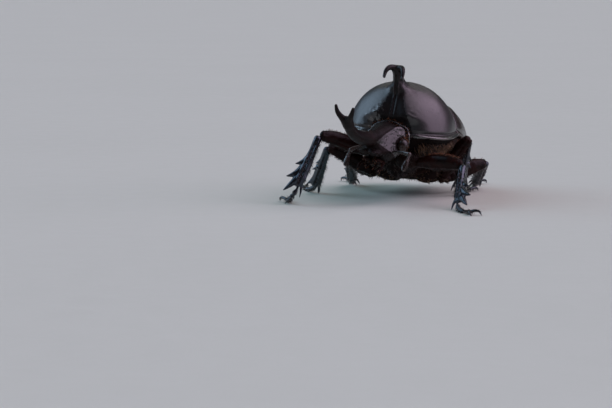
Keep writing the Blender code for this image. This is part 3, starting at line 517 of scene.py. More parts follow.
# ------------------------------------------------------------------ fine skinning
CORNERS = [(i, j, k) for i in (0, 1) for j in (0, 1) for k in (0, 1)]
CELL_EDGES = [(a, b) for a in range(8) for b in range(a + 1, 8) if sum(abs(u - v) for u, v in zip(CORNERS[a], CORNERS[b])) == 1]


def evaluate(form, p):
    return np.concatenate([form(p[i:i + 120000]) for i in range(0, len(p), 120000)]) if len(p) else np.zeros(0)


def largest_piece(points, quads):
    label = np.arange(len(points))
    ends = np.concatenate([quads[:, [0, 1]], quads[:, [1, 2]], quads[:, [2, 3]]])
    while True:
        low = np.minimum(label[ends[:, 0]], label[ends[:, 1]])
        before = label.copy()
        np.minimum.at(label, ends[:, 0], low)
        np.minimum.at(label, ends[:, 1], low)
        for _ in range(6):
            label = label[label]
        if (label == before).all():
            break
    names, count = np.unique(label[quads[:, 0]], return_counts=True)
    quads = quads[label[quads[:, 0]] == names[count.argmax()]]
    used, quads = np.unique(quads, return_inverse=True)
    return points[used], quads.reshape(-1, 4)


def fine_skin(form, low, high, step, rounds=4, block=4, ease=0.5):
    """A quad mesh of form(p) < 0 inside low..high: the form is read on a coarse grid first, then finely near its surface.
    One point for each cell that the surface crosses, evened out and eased onto the form."""
    low, high = np.asarray(low, float), np.asarray(high, float)
    S = step * block
    nb = np.ceil((high - low) / S).astype(int) + 1
    axes = [low[i] + S * np.arange(nb[i] + 1) for i in range(3)]
    grid = np.stack(np.meshgrid(*axes, indexing="ij"), -1).reshape(-1, 3)
    coarse = np.abs(evaluate(form, grid)).reshape(nb + 1)
    least = np.full(nb, 1e9)
    for c in CORNERS:
        least = np.minimum(least, coarse[c[0]:c[0] + nb[0], c[1]:c[1] + nb[1], c[2]:c[2] + nb[2]])
    cell = (least < 1.05 * S).repeat(block, 0).repeat(block, 1).repeat(block, 2)
    m = nb * block
    n = m + 1
    mask = np.zeros(n, bool)
    for c in CORNERS:
        mask[c[0]:c[0] + m[0], c[1]:c[1] + m[1], c[2]:c[2] + m[2]] |= cell
    at = np.flatnonzero(mask)
    value = np.full(n.prod(), 9.0)
    value[at] = evaluate(form, low + step * np.stack(np.unravel_index(at, n), 1))
    value = value.reshape(n)
    for side in (0, -1):
        value[side] = np.maximum(value[side], step)
        value[:, side] = np.maximum(value[:, side], step)
        value[:, :, side] = np.maximum(value[:, :, side], step)
    corner = [value[c[0]:c[0] + m[0], c[1]:c[1] + m[1], c[2]:c[2] + m[2]] for c in CORNERS]
    inside = sum((c < 0).astype(np.int8) for c in corner)
    mixed = cell & (inside > 0) & (inside < 8)
    ids = np.full(m, -1, np.int64)
    cells = np.argwhere(mixed)
    ids[mixed] = np.arange(len(cells))
    v = np.stack([c[mixed] for c in corner], 1)
    total, count = np.zeros((len(cells), 3)), np.zeros(len(cells))
    for a, b in CELL_EDGES:
        va, vb = v[:, a], v[:, b]
        hit = (va < 0) != (vb < 0)
        t = np.where(hit, va / np.where(hit, va - vb, 1), 0)[:, None]
        ca, cb = np.array(CORNERS[a], float), np.array(CORNERS[b], float)
        total += np.where(hit[:, None], ca + t * (cb - ca), 0)
        count += hit
    points = low + step * (cells + total / count[:, None])
    sign = value < 0
    quads = []
    for axis in range(3):
        u, w = (axis + 1) % 3, (axis + 2) % 3
        first = [slice(None)] * 3
        second = [slice(None)] * 3
        first[axis], second[axis] = slice(0, -1), slice(1, None)
        a, b = sign[tuple(first)], sign[tuple(second)]
        e = np.argwhere(a != b)
        e = e[(e[:, u] > 0) & (e[:, w] > 0) & (e[:, u] < m[u]) & (e[:, w] < m[w])]
        out = a[tuple(e.T)]
        ring = []
        for du, dw in ((-1, -1), (0, -1), (0, 0), (-1, 0)):
            c = e.copy()
            c[:, u] += du
            c[:, w] += dw
            ring.append(ids[tuple(c.T)])
        q = np.stack(ring, 1)
        good = (q >= 0).all(1)
        quads.append(np.where(out[good][:, None], q[good], q[good][:, ::-1]))
    points, quads = largest_piece(points, np.concatenate(quads))
    ends = np.concatenate([quads[:, [i, (i + 1) % 4]] for i in range(4)])
    ends = np.concatenate([ends, ends[:, ::-1]])
    degree = np.bincount(ends[:, 0], minlength=len(points)).astype(float)
    e = step * 0.05

    def settle(q, most):
        f = evaluate(form, q)
        g = np.stack([evaluate(form, q + e * np.eye(3)[i]) - f for i in range(3)], 1) / e
        move = -f[:, None] * g / np.maximum((g * g).sum(1), 0.1)[:, None]
        size = np.linalg.norm(move, axis=1)
        return q + move * np.minimum(1, most / np.maximum(size, 1e-9))[:, None]

    for k in range(rounds):
        mean = np.stack([np.bincount(ends[:, 0], points[ends[:, 1], i], len(points)) for i in range(3)], 1) / degree[:, None]
        points = settle(points + (ease if k < rounds - 1 else 0.15) * (mean - points), step * 0.5)
    return points, quads


def corner_normals(points, quads):
    d = np.cross(points[quads[:, 2]] - points[quads[:, 0]], points[quads[:, 3]] - points[quads[:, 1]])
    normal = np.zeros_like(points)
    for i in range(4):
        for k in range(3):
            normal[:, k] += np.bincount(quads[:, i], d[:, k], len(points))
    return normal / np.maximum(np.linalg.norm(normal, axis=1), 1e-12)[:, None]


def edge_wear(points, quads, spread=3):
    """How convex the surface is at each point, per millimetre, smoothed; negative in hollows."""
    ends = np.concatenate([quads[:, [i, (i + 1) % 4]] for i in range(4)])
    ends = np.concatenate([ends, ends[:, ::-1]])
    degree = np.bincount(ends[:, 0], minlength=len(points)).astype(float)
    blur = lambda v: np.bincount(ends[:, 0], v[ends[:, 1]], len(points)) / degree
    mean = np.stack([blur(points[:, i]) for i in range(3)], 1)
    length = blur(np.zeros(len(points))) + np.bincount(ends[:, 0], np.linalg.norm(points[ends[:, 0]] - points[ends[:, 1]], axis=1), len(points)) / degree
    c = -((mean - points) * corner_normals(points, quads)).sum(1) * 2 / np.maximum(length, 1e-9) ** 2
    for _ in range(spread):
        c = 0.5 * (c + blur(c))
    return c


# ------------------------------------------------------------------ relief
def gauss(v, centre, width):
    return np.exp(-((v - centre) / width) ** 2)


def ramp(a, b, v):
    t = np.clip((v - a) / (b - a), 0, 1)
    return t * t * (3 - 2 * t)


def ripple(p, wave, seed, count=9):
    """Smooth unevenness between about -1 and 1, with bumps about `wave` millimetres apart."""
    rng = np.random.default_rng(seed)
    total = np.zeros(len(p))
    for _ in range(count):
        d = rng.normal(size=3)
        d *= 2 * math.pi / (wave * rng.uniform(0.75, 1.4) * np.linalg.norm(d))
        total += np.sin(p @ d + rng.uniform(0, 6.283))
    return total * (1.5 / count)


def plate_dots(p, pitch, radius, seed):
    """1 at the middles of small hollows set on a jittered lattice, 0 between them."""
    cell = np.floor(p / pitch).astype(np.int64)
    best = np.full(len(p), 9.0)
    for c in CORNERS:
        k = np.floor(p / pitch - 0.5).astype(np.int64) + c
        h = (k[:, 0] * 73856093 ^ k[:, 1] * 19349663 ^ k[:, 2] * 83492791 ^ seed * 2654435) & 0xFFFFFF
        jitter = np.stack([(h & 255) / 255.0, ((h >> 8) & 255) / 255.0, ((h >> 16) & 255) / 255.0], 1)
        best = np.minimum(best, np.linalg.norm(p - (k + 0.2 + 0.6 * jitter) * pitch, axis=1))
    return np.clip(1 - (best / radius) ** 2, 0, 1)


declivity_edge = natural_spline((-1.0, 1.0, 2.8, 4.5, 6.0, 8.0, 9.8), (5.1, 4.5, 3.7, 2.9, 2.25, 1.8, 1.4))


def head_corner(p):
    """The raised corner above and behind each eye, fuller on the left, where the turned head stands clear of the collar."""
    q = p.copy()
    q[:, 0] = np.abs(q[:, 0])
    return ellipsoid(q, (2.35, -1.0, 0.85), (0.90, 1.5, 1.3)) + 0.75 * ramp(0.6, -0.6, p[:, 0])


def head_shape(p):
    return smin(head_form(p), head_corner(p), 0.8)


def prothorax_relief(p):
    x, y, z = np.abs(p[:, 0]), np.minimum(p[:, 1], 0.6), p[:, 2]
    zm = pro_margin(y)
    h = ramp(2.0, 4.6, x) * (0.42 * gauss(z - zm, 0.70, 0.25) - 0.36 * gauss(z - zm, 1.28, 0.26))
    top = ramp(0.6, 1.7, z - zm)
    h += top * (0.20 * gauss(y, -0.62, 0.34) - 0.18 * gauss(y, -1.28, 0.28))
    e = head_shape(to_frame(HEAD, to_world(FORE, p)))                            # distance from the head
    collar = ramp(-10.9, -11.6, y) * ramp(-3.2, -2.0, z)
    h -= collar * (0.12 * gauss(e, 0.80, 0.40) - 0.03 * ripple(p, 0.6, 13) * ramp(1.1, 1.5, e) * ramp(3.0, 2.2, e) * ramp(5.5, 4.0, x))
    edge = declivity_edge(np.clip(z, -1, 9.8))
    front = ramp(-8.6, -10.2, y) * ramp(0.2, 2.0, z)
    t = x / edge
    clear = ramp(0.6, 1.8, e)
    h -= front * ramp(9.5, 7.5, z) * 0.10 * np.clip(1 - t * t, 0, 1) ** 1.3 * clear
    h += front * ramp(10.4, 8.8, z) * 0.50 * ramp(-3.4, 0.0, x - edge) * ramp(4.6, 0.0, x - edge) * clear      # the lobes swell up from the hollow's edge
    h += front * 0.13 * gauss(x, 0.36, 0.13) * ramp(2.9, 4.2, z) * ramp(10.6, 9.0, z)                          # two hair-fine keels down the middle
    rough = front * ramp(0.55, 0.95, t) * ramp(1.75, 1.1, t) * ramp(7.5, 4.5, z) * ramp(0.9, 1.8, e)
    h += np.where(p[:, 0] < 0, 0.14, 0.06) * rough * ripple(p, 0.9, 11)
    h -= 0.60 * ramp(0.45, -0.45, z - zm) * ramp(2.6, 5.0, x) * ramp(-4.5, -2.5, z - zm)          # undercut beneath the side bead
    low = ramp(0.6, -0.4, z - zm)
    h += low * (-0.22 * gauss(x, 5.6 - 0.18 * y * 0, 0.22) * ramp(0.0, -2.0, z) + 0.05 * ripple(p, 1.3, 12))
    h += low * 0.45 * gauss(x, 0.0, 0.9) * ramp(-1.0, -2.5, y) * ramp(-11.8, -10.5, y)
    return h


def painted_shade_hollow(p, facing):
    """Where the hollow between the lobes, and the horn's face above it, get a darker, duller copy of the cuticle than
    the lobes: painted shade.
    """
    x, y, z = np.abs(p[:, 0]), p[:, 1], p[:, 2]
    edge = declivity_edge(np.clip(z, -1, 9.8))
    return (y < -8.4) & (z > -2.5) & (facing[:, 1] < -0.15) & (x < edge - 0.35 + 0.22 * ripple(p, 0.8, 31))


def wet_folds(p):
    """The polished crests of the folds at the foot of the right lobe."""
    x, y, z = np.abs(p[:, 0]), p[:, 1], p[:, 2]
    t = x / declivity_edge(np.clip(z, -1, 9.8))
    return (p[:, 0] < 0) & (y < -9.0) & (z > 0.6) & (z < 5.6) & (t > 0.60) & (t < 1.60) & (ripple(p, 0.9, 11) > 0.22)


def side_bead(p):
    """The polished bead along the pronotum's side and its corner."""
    rise = p[:, 2] - pro_margin(np.minimum(p[:, 1], 0.5))
    return (np.abs(rise - 0.72) < 0.27) & (np.abs(p[:, 0]) > 2.9) & (p[:, 1] < -0.25)


def horn_relief(p):
    """The thoracic horn: two fine keels down its front, a grained root."""
    x, y, z = np.abs(p[:, 0]), p[:, 1], p[:, 2]
    h = 0.16 * gauss(x, 0.34, 0.15) * ramp(-9.5, -11.0, y) * ramp(12.4, 11.2, z)
    h += 0.035 * ripple(p, 0.7, 21) * ramp(12.5, 10.5, z)
    return h


def horn_fine(p):
    """The thoracic horn with a slimmer keel below it than the solid has."""
    d = smin(THORAX_HORN(p), THORAX_KEEL(p) + 0.34, 1.3)
    for prong in THORAX_PRONGS:
        d = smin(d, prong(p), 0.7)
    return d


def thorax_whole(p):
    d = smin(pronotum_dome(p), horn_fine(p), 1.9)
    return d - prothorax_relief(p) - horn_relief(p) * ramp(7.6, 9.0, p[:, 2])


def prothorax_front(p):
    d = thorax_whole(p)
    return smax(d, -PRO_LENGTH - p[:, 1] - 0.5 * np.maximum(p[:, 2] - 2.4, 0) ** 2, 1.7)


def horn_plane(p):
    return (p[:, 1] - (p[:, 2] - 8.95) + 10.55) * (0.62 / 0.877)


BROW = Tube([(1.30, -6.3, -1.25), (1.75, -5.2, -0.70), (2.15, -3.9, 0.22), (2.25, -2.7, 1.08), (2.1, -1.5, 1.78)], (0.26, 0.32, 0.34, 0.32, 0.28), n=12)
COLLAR_RIMS = ((0.50, 0.21), (1.08, 0.17))     # distance from the head, radius


def collar_rims(p):
    """Two thin raised lines that run round the head along the front of the prothorax."""
    e = head_shape(to_frame(HEAD, to_world(FORE, p)))
    t = prothorax_front(p)
    d = np.full(len(p), 9.0)
    for away, radius in COLLAR_RIMS:
        d = np.minimum(d, np.hypot(e - away, t - 0.02) - radius)
    return smax(smax(d, p[:, 1] + 10.6, 0.1), -2.6 - p[:, 2], 0.1)


CHEEK = (unit((0.89, -0.41, 0.20)), 3.34)


def cheek(q):
    """Below 0 on the inner side of the flat, slightly hollow cheek; q has x >= 0."""
    y = q[:, 1]
    return q @ CHEEK[0] - CHEEK[1] - 0.5 * ramp(0.2, 1.6, y) - 0.08 * np.maximum(-4.2 - y, 0) ** 2 + 0.12 * gauss(y, -3.2, 1.3)


def head_whole(p):
    q = p.copy()
    q[:, 0] = np.abs(q[:, 0])
    x, y, z = q[:, 0], q[:, 1], q[:, 2]
    d = ellipsoid(q, (0, -1.3, -0.9), (3.75, 3.9, 3.3))
    d = smin(d, ellipsoid(q, (0, -2.2, -3.0), (2.3, 3.0, 1.9)), 1.0)
    d = smin(d, ellipsoid(q, (0, -4.1, -2.6), (2.5, 2.6, 1.5)), 1.6)
    d = smin(d, HEAD_HORN(p), 1.5)
    d = smin(d, BROW(q), 0.55)
    d = smin(d, head_corner(p), 0.6)
    d = smax(d, cheek(q), 0.20)
    d = smin(d, ellipsoid(q, (0.95, -6.0, -3.5), (1.25, 1.25, 0.55)), 0.5)       # two-lobed clypeus
    d = smin(d, ellipsoid(q, EYE_C - (0.25, 0.1, 0.1), EYE_R) + 0.22, 0.4)       # the swelling round the eye
    up = ramp(-1.8, -0.2, z)
    h = 0.016 * ripple(p, 0.7, 31) * ramp(-8.5, -6.0, y)
    h += 0.10 * gauss(x, 0.0, 0.45) * up * ramp(0.5, -1.5, y)
    h -= 0.06 * plate_dots(p, 0.66, 0.20, 5) * ramp(-9.5, -7.5, y)
    h += 0.12 * gauss(z, -3.55, 0.16) * ramp(-5.6, -6.4, y)                      # rim of the clypeus
    h -= 0.05 * gauss(y, -4.75, 0.14) * ramp(-2.8, -3.4, z) * ramp(2.0, 1.6, x)
    e = ellipsoid(q, EYE_C, EYE_R)
    side = ramp(2.0, 2.8, x)
    e = e + 0.28 * ripple(p, 1.1, 34)
    side = side * ramp(-0.2, -1.4, y) * (0.30 + 0.70 * ramp(-0.35, 0.35, ripple(p, 0.9, 35)))
    h += side * (0.12 * gauss(e, 0.68, 0.22) - 0.09 * gauss(e, 1.22, 0.26) + 0.05 * gauss(e, 1.80, 0.24))           # uneven folds round the eye
    for prong in HEAD_PRONGS:
        d = smin(d, prong(p), 0.8)
    return d - h


def head_horn_whole(p):
    d = head_whole(p)
    x, y, z = np.abs(p[:, 0]), p[:, 1], p[:, 2]
    h = 0.035 * ripple(p * (1, 0.4, 1), 0.75, 41) * ramp(-18.0, -15.5, y)
    h += 0.12 * gauss(x, 0.0, 0.30) * ramp(-6.6, -8.0, y) * ramp(-16.0, -14.5, y) * ramp(-1.9, -0.9, z - 0.0)
    return d - h * ramp(-6.4, -7.6, y)


def elytra_relief(p):
    x, y, z = np.abs(p[:, 0]), p[:, 1], p[:, 2]
    zm = body_margin(y)
    w = ely_w(y)
    up = ramp(0.9, 2.2, z - zm)
    h = up * (0.09 * gauss(x, 0.30, 0.22) - 0.15 * gauss(x, 0.78, 0.17)) * ramp(2.4, 4.2, y)
    h += 0.42 * np.exp(-((x - 7.4) / 1.5) ** 2 - ((y - 2.6) / 1.5) ** 2) * up
    h += 0.26 * np.exp(-((x - 5.4) / 1.7) ** 2 - ((y - 18.8) / 1.5) ** 2) * up
    for c, a in ((0.27, 0.05), (0.45, 0.045), (0.63, 0.04), (0.79, 0.03)):
        h -= up * a * gauss(x / w, c, 0.010) * ramp(3.0, 6.0, y) * ramp(20.0, 17.0, y)
    h += 0.17 * gauss(z - zm, 0.50, 0.26) - 0.15 * gauss(z - zm, 1.02, 0.24)
    h += up * (0.10 * gauss(y, 0.75, 0.25) - 0.08 * gauss(y, 1.25, 0.2))
    h += 0.012 * ripple(p, 2.2, 51) * up
    return h


def elytron_whole(p, side):
    d = elytra_outer(p) - elytra_relief(p)
    d = smax(d, 0.25 - p[:, 1], 0.35)
    d = smax(d, -side * p[:, 0] + 0.05, 0.12)
    d = smax(d, body_margin(p[:, 1]) + 0.18 - p[:, 2], 0.16)
    d = smax(d, -(trunk_form(p) - GAP), 0.2)
    d = smax(d, -(fore_clear(p) + 0.16), 0.15)
    return smax(d, -(smax(elytra_outer(p) - 0.5, scutellum_zone(p), 0.15) - 0.12), 0.12)


STERNITES = (10.9, 12.9, 14.8, 16.7, 18.6, 20.36)


def trunk_relief(p):
    x, y, z = np.abs(p[:, 0]), p[:, 1], p[:, 2]
    low = ramp(0.9, -0.2, z - body_margin(y))
    yy = y - 0.010 * x * x
    h = np.zeros(len(p))
    belly = ramp(9.2, 9.7, y)
    for k, line in enumerate(STERNITES):
        h -= 0.30 * gauss(yy, line, 0.15)
        h += 0.16 * gauss(yy, line - 0.42, 0.28)
    h *= low * belly
    # breast plate: middle line, plate edges round the hips
    breast = low * ramp(9.4, 8.8, y)
    h -= breast * 0.26 * gauss(x, 0, 0.16) * ramp(1.0, 2.2, y)
    h -= breast * 0.24 * gauss(y - 0.16 * x, 3.9, 0.15) * ramp(6.0, 6.8, x)
    h -= breast * 0.24 * gauss(x - 0.05 * y, 6.9, 0.16)
    h += low * 0.035 * ripple(p, 0.9, 61)
    h -= low * 0.10 * plate_dots(p, 0.75, 0.24, 7)
    h += ramp(19.8, 21.2, y) * (0.04 * ripple(p, 0.8, 62) - 0.07 * plate_dots(p, 0.55, 0.2, 8))
    return h


# ------------------------------------------------------------------ finer limbs (world)
def leg_coords(p, l):
    along, out, flat = leg_axes(l["knee"], l["ankle"], l["teeth"])
    q = p - l["knee"]
    return q @ along, q @ out, q @ flat, np.linalg.norm(l["ankle"] - l["knee"])


def femur_fine(l):
    base = femur_form(l)
    hip, knee = hip_point(l), l["knee"]
    along = unit(knee - hip)
    length = np.linalg.norm(knee - hip)
    up = unit(np.array([0, 0, 1]) - along * along[2])
    side = np.cross(along, up)
    lobes = [Tube([knee - along * 1.5 + side * s * 0.46 - up * 0.15, knee - along * 0.75 + side * s * 0.56 - up * 0.12], (0.42, 0.36), n=3) for s in (-1, 1)]

    def form(p):
        d = base(p)
        for lobe in lobes:
            d = smin(d, lobe(p), 0.3)
        q = p - hip
        s, u, v = q @ along / length, q @ up, q @ side
        h = 0.07 * gauss(u, -0.75, 0.22) - 0.09 * gauss(u, -0.30, 0.20) * ramp(0.15, 0.3, s)
        h -= 0.09 * gauss(s, 0.93, 0.018) + 0.07 * gauss(s, 0.10, 0.02)
        h += 0.02 * ripple(p, 0.8, 71)
        h -= 0.07 * plate_dots(p, 0.7, 0.17, 9)
        return d - h

    return form


def tibia_fine(l):
    knee, ankle = l["knee"], l["ankle"]
    along, out, flat = leg_axes(knee, ankle, l["teeth"])
    L = np.linalg.norm(ankle - knee)
    at = lambda s, o=0.0, f=0.0: knee + along * s * L + out * o + flat * f
    spurs = []
    if l["fore"]:
        blade = Tube([at(0.085, 0.05), at(0.30, 0.0), at(0.6, 0.12), at(0.85, 0.28), at(0.97, 0.25)],
                     (0.60, 0.54, 0.54, 0.52, 0.40), (0.70, 0.66, 0.98, 1.18, 0.90), up=out)
        teeth = [Tube([at(0.50, 0.50), at(0.60, 1.30), at(0.640, 1.95)], (0.52, 0.36, 0.10)),
                 Tube([at(0.70, 0.70), at(0.84, 1.70), at(0.905, 2.58)], (0.62, 0.44, 0.12)),
                 Tube([at(0.86, 0.70), at(1.03, 1.45), at(1.15, 2.15)], (0.62, 0.46, 0.12))]
        spurs = [Tube([at(0.95, -0.40, 0.1), at(1.03, -0.72, 0.15), at(1.17, -1.02, 0.1)], (0.28, 0.22, 0.07))]
        blend, ridges = 0.45, ((0.42, 0.16), (-0.38, 0.13))
    else:
        blade = Tube([at(0.09), at(0.35), at(0.7), at(0.93)], (0.60, 0.66, 0.84, 0.95), (0.68, 0.76, 0.98, 1.1), up=out)
        teeth = [Tube([at(0.40, 0.45), at(0.47, 1.20)], (0.36, 0.09)), Tube([at(0.56, 0.50), at(0.64, 1.45)], (0.42, 0.09)),
                 Tube([at(0.90, 0.70), at(1.03, 1.58)], (0.46, 0.09)),
                 Tube([at(0.92, 0.35, 0.65), at(1.04, 0.45, 1.25)], (0.38, 0.09)),
                 Tube([at(0.92, -0.10, -0.65), at(1.04, 0.0, -1.25)], (0.38, 0.09))]
        spurs = [Tube([at(0.95, -0.62, 0.18), at(1.12, -1.15, 0.25), at(1.24, -1.32, 0.28)], (0.22, 0.16, 0.06)),
                 Tube([at(0.95, -0.50, -0.28), at(1.10, -0.92, -0.42), at(1.20, -1.02, -0.46)], (0.20, 0.15, 0.06))]
        blend, ridges = 0.40, ((0.30, 0.13), (-0.40, 0.12))

    def form(p):
        d = blade(p)
        for tooth in teeth:
            d = smin(d, tooth(p), blend)
        s, o, f, _ = leg_coords(p, l)
        t = s / L
        h = np.zeros(len(p))
        for c, a in ridges:
            h += a * gauss(o - 0.3 * t, c, 0.17) * ramp(0.08, 0.2, t) * ramp(1.02, 0.9, t)
        h -= 0.10 * gauss(o - 0.3 * t, 0.02, 0.20) * ramp(0.12, 0.25, t) * ramp(0.98, 0.85, t)
        h -= 0.12 * gauss(o - 0.3 * t, 0.02, 0.15) * np.clip(np.cos(s * 2 * math.pi / 0.85), 0, 1) ** 2 * ramp(0.15, 0.3, t) * ramp(0.95, 0.8, t)
        if not l["fore"]:
            h += 0.16 * gauss((t - 0.56) * L + 0.3 * o, 0, 0.20) * ramp(-0.6, 0.5, o)
        h += 0.018 * ripple(p, 0.6, 81)
        d = d - h
        for spur in spurs:
            d = smin(d, spur(p), 0.12)
        return smax(d, 0.03 - p[:, 2], 0.05)

    return form


def tarsus_fine(l):
    pts = tarsus_points(l)
    s = np.concatenate([[0], np.cumsum([np.linalg.norm(b - a) for a, b in zip(pts, pts[1:])])])
    curve = [natural_spline(s, [q[i] for q in pts]) for i in range(3)]
    at = lambda t: np.array([c(np.array(t * s[-1])) for c in curve])
    stops = (0.0, 0.155, 0.31, 0.465, 0.62, 1.0)
    beads, spines = [], []
    for i in range(5):
        a, b = at(stops[i]), at(stops[i + 1])
        along = unit(b - a)
        side = unit(np.cross(along, (0, 0, 1)))
        under = np.cross(along, side)
        under = under if under[2] < 0 else -under
        if i < 4:
            c = b - 0.10 * (b - a)
            beads.append(Tube([a, 0.5 * (a + c), c - 0.1 * along, c], (0.21, 0.33, 0.45, 0.34), n=8))
            for sgn in (-1, 1):
                base = c - 0.22 * along + side * sgn * 0.20 + under * 0.18
                spines.append(Tube([base, base + along * 0.34 + side * sgn * 0.20 + under * 0.12, base + along * 0.62 + side * sgn * 0.26 + under * 0.16], (0.17, 0.10, 0.035), n=5))
        else:
            beads.append(Tube([a, a + 0.35 * (b - a), a + 0.8 * (b - a), b - 0.10 * (b - a)], (0.19, 0.25, 0.36, 0.40), n=10))
    core = Tube([l["ankle"] - unit(l["ankle"] - l["knee"]) * 0.1] + [at(t) for t in np.linspace(0.02, 0.9, 8)], (0.22,) + (0.18,) * 8, n=16)
    tip, before = at(1.0), at(0.9)
    along = unit(tip - before)
    along[2] = 0
    along = unit(along)
    across = np.cross(along, (0, 0, 1))
    claws = []
    for sgn in (-1, 1):
        c = [tip - along * 0.2, tip + along * 0.75 + across * sgn * 0.62, tip + along * 1.55 + across * sgn * 1.02, tip + along * 2.22 + across * sgn * 0.96]
        for q, z in zip(c, (0.44, 0.80, 0.62, 0.14)):
            q[2] = z
        claws.append(Tube(c, (0.30, 0.25, 0.18, 0.07), n=12))
    claws.append(Tube([tip - along * 0.1 + (0, 0, 0.0), tip + along * 0.55, tip + along * 0.95], (0.14, 0.12, 0.06), n=5))

    def form(p):
        d = core(p)
        for bead in beads:
            d = np.minimum(d, smin(d, bead(p), 0.05))
        for spine in spines:
            d = smin(d, spine(p), 0.06)
        for claw in claws:
            d = smin(d, claw(p), 0.16)
        return smax(d, 0.012 - p[:, 2], 0.02)

    return form


def coxa_fine(p, which):
    l = LEGS[which]
    q = to_frame(l["region"], p)
    d = coxa_form(p, which)
    hip = hip_point(l)
    along = unit(l["knee"] - hip)
    trochanter = Tube([hip - along * 0.9, hip + along * 0.55], (0.80, 0.62), n=3)
    d = smin(d, smax(trochanter(p), -(femur_form(l)(p) - 0.05), 0.05), 0.25)
    return d - 0.03 * ripple(q, 1.0, 91) + 0.08 * plate_dots(q, 0.7, 0.2, 10)


# ------------------------------------------------------------------ finer feelers, mouth, eyes (head frame)
def antenna_fine(side):
    s = side
    base, elbow = np.array([s * 3.1, -3.3, -2.6]), np.array(ANTENNA_ELBOW[side])
    across = unit(elbow - base)
    mid = 0.5 * (base + elbow) + (0, 0, 0.15)
    scape = Tube([base, mid, elbow], (0.22, 0.24, 0.42), n=10)
    tip = elbow + np.array((s * 0.05, -0.45, -1.35))
    bend = elbow + np.array((s * 0.15, -0.25, -0.75))
    chain = Tube([elbow, bend, tip], (0.16, 0.15, 0.16), n=8)
    beads = []
    for k in range(6):
        t = (k + 0.5) / 6
        c = elbow * (1 - t) ** 2 + 2 * t * (1 - t) * bend + tip * t * t
        beads.append((c, 0.25 + 0.03 * k))
    down = unit(np.array((-s * 0.10, -0.20, -1.45)))
    fan = unit(np.cross(down, (s, 0, 0)))
    plates = []
    for k in (-1, 0, 1):
        start = tip + fan * k * 0.24 + down * 0.05
        plates.append(Tube([start, start + down * 0.85 + fan * k * 0.10, start + down * 1.62 + fan * k * 0.06], (0.34, 0.46, 0.30), (0.11, 0.12, 0.10), up=fan, n=8))

    def form(p):
        d = smin(scape(p), chain(p), 0.08)
        for c, r in beads:
            d = smin(d, ellipsoid(p, c, (r, r, 0.15)), 0.03)
        for plate in plates:
            d = smin(d, plate(p), 0.04)
        return d

    return form


def mouth_fine(p):
    q = p.copy()
    q[:, 0] = np.abs(q[:, 0])
    d = ellipsoid(q, (0, -3.0, -5.0), (1.7, 1.7, 0.70))
    d = d + 0.10 * gauss(q[:, 1], -4.2, 0.14) + 0.06 * plate_dots(p, 0.45, 0.15, 12)
    d = smin(d, ellipsoid(q, (1.05, -4.5, -4.80), (0.72, 1.15, 0.42)), 0.12)           # mandibles
    d = smin(d, ellipsoid(q, (0.42, -3.9, -5.35), (0.36, 0.75, 0.34)), 0.10)
    for pts, r in ((((1.35, -3.2, -5.1), (1.75, -3.7, -5.35)), (0.20, 0.26)), (((1.78, -3.75, -5.36), (2.15, -4.3, -5.65)), (0.20, 0.29)),
                   (((2.17, -4.35, -5.68), (2.24, -4.95, -6.1)), (0.20, 0.29)), (((2.23, -5.02, -6.15), (2.10, -5.35, -6.55), (1.98, -5.55, -6.90)), (0.22, 0.30, 0.14)),
                   (((0.55, -3.6, -5.4), (0.68, -4.1, -5.7)), (0.16, 0.22)), (((0.69, -4.15, -5.72), (0.75, -4.6, -6.0)), (0.16, 0.22)),
                   (((0.75, -4.65, -6.03), (0.70, -5.05, -6.55)), (0.18, 0.12))):
        d = smin(d, Tube(pts, r, n=4)(q), 0.05)
    return d


def eye_fine(p, side):
    return eye_form(p, side)


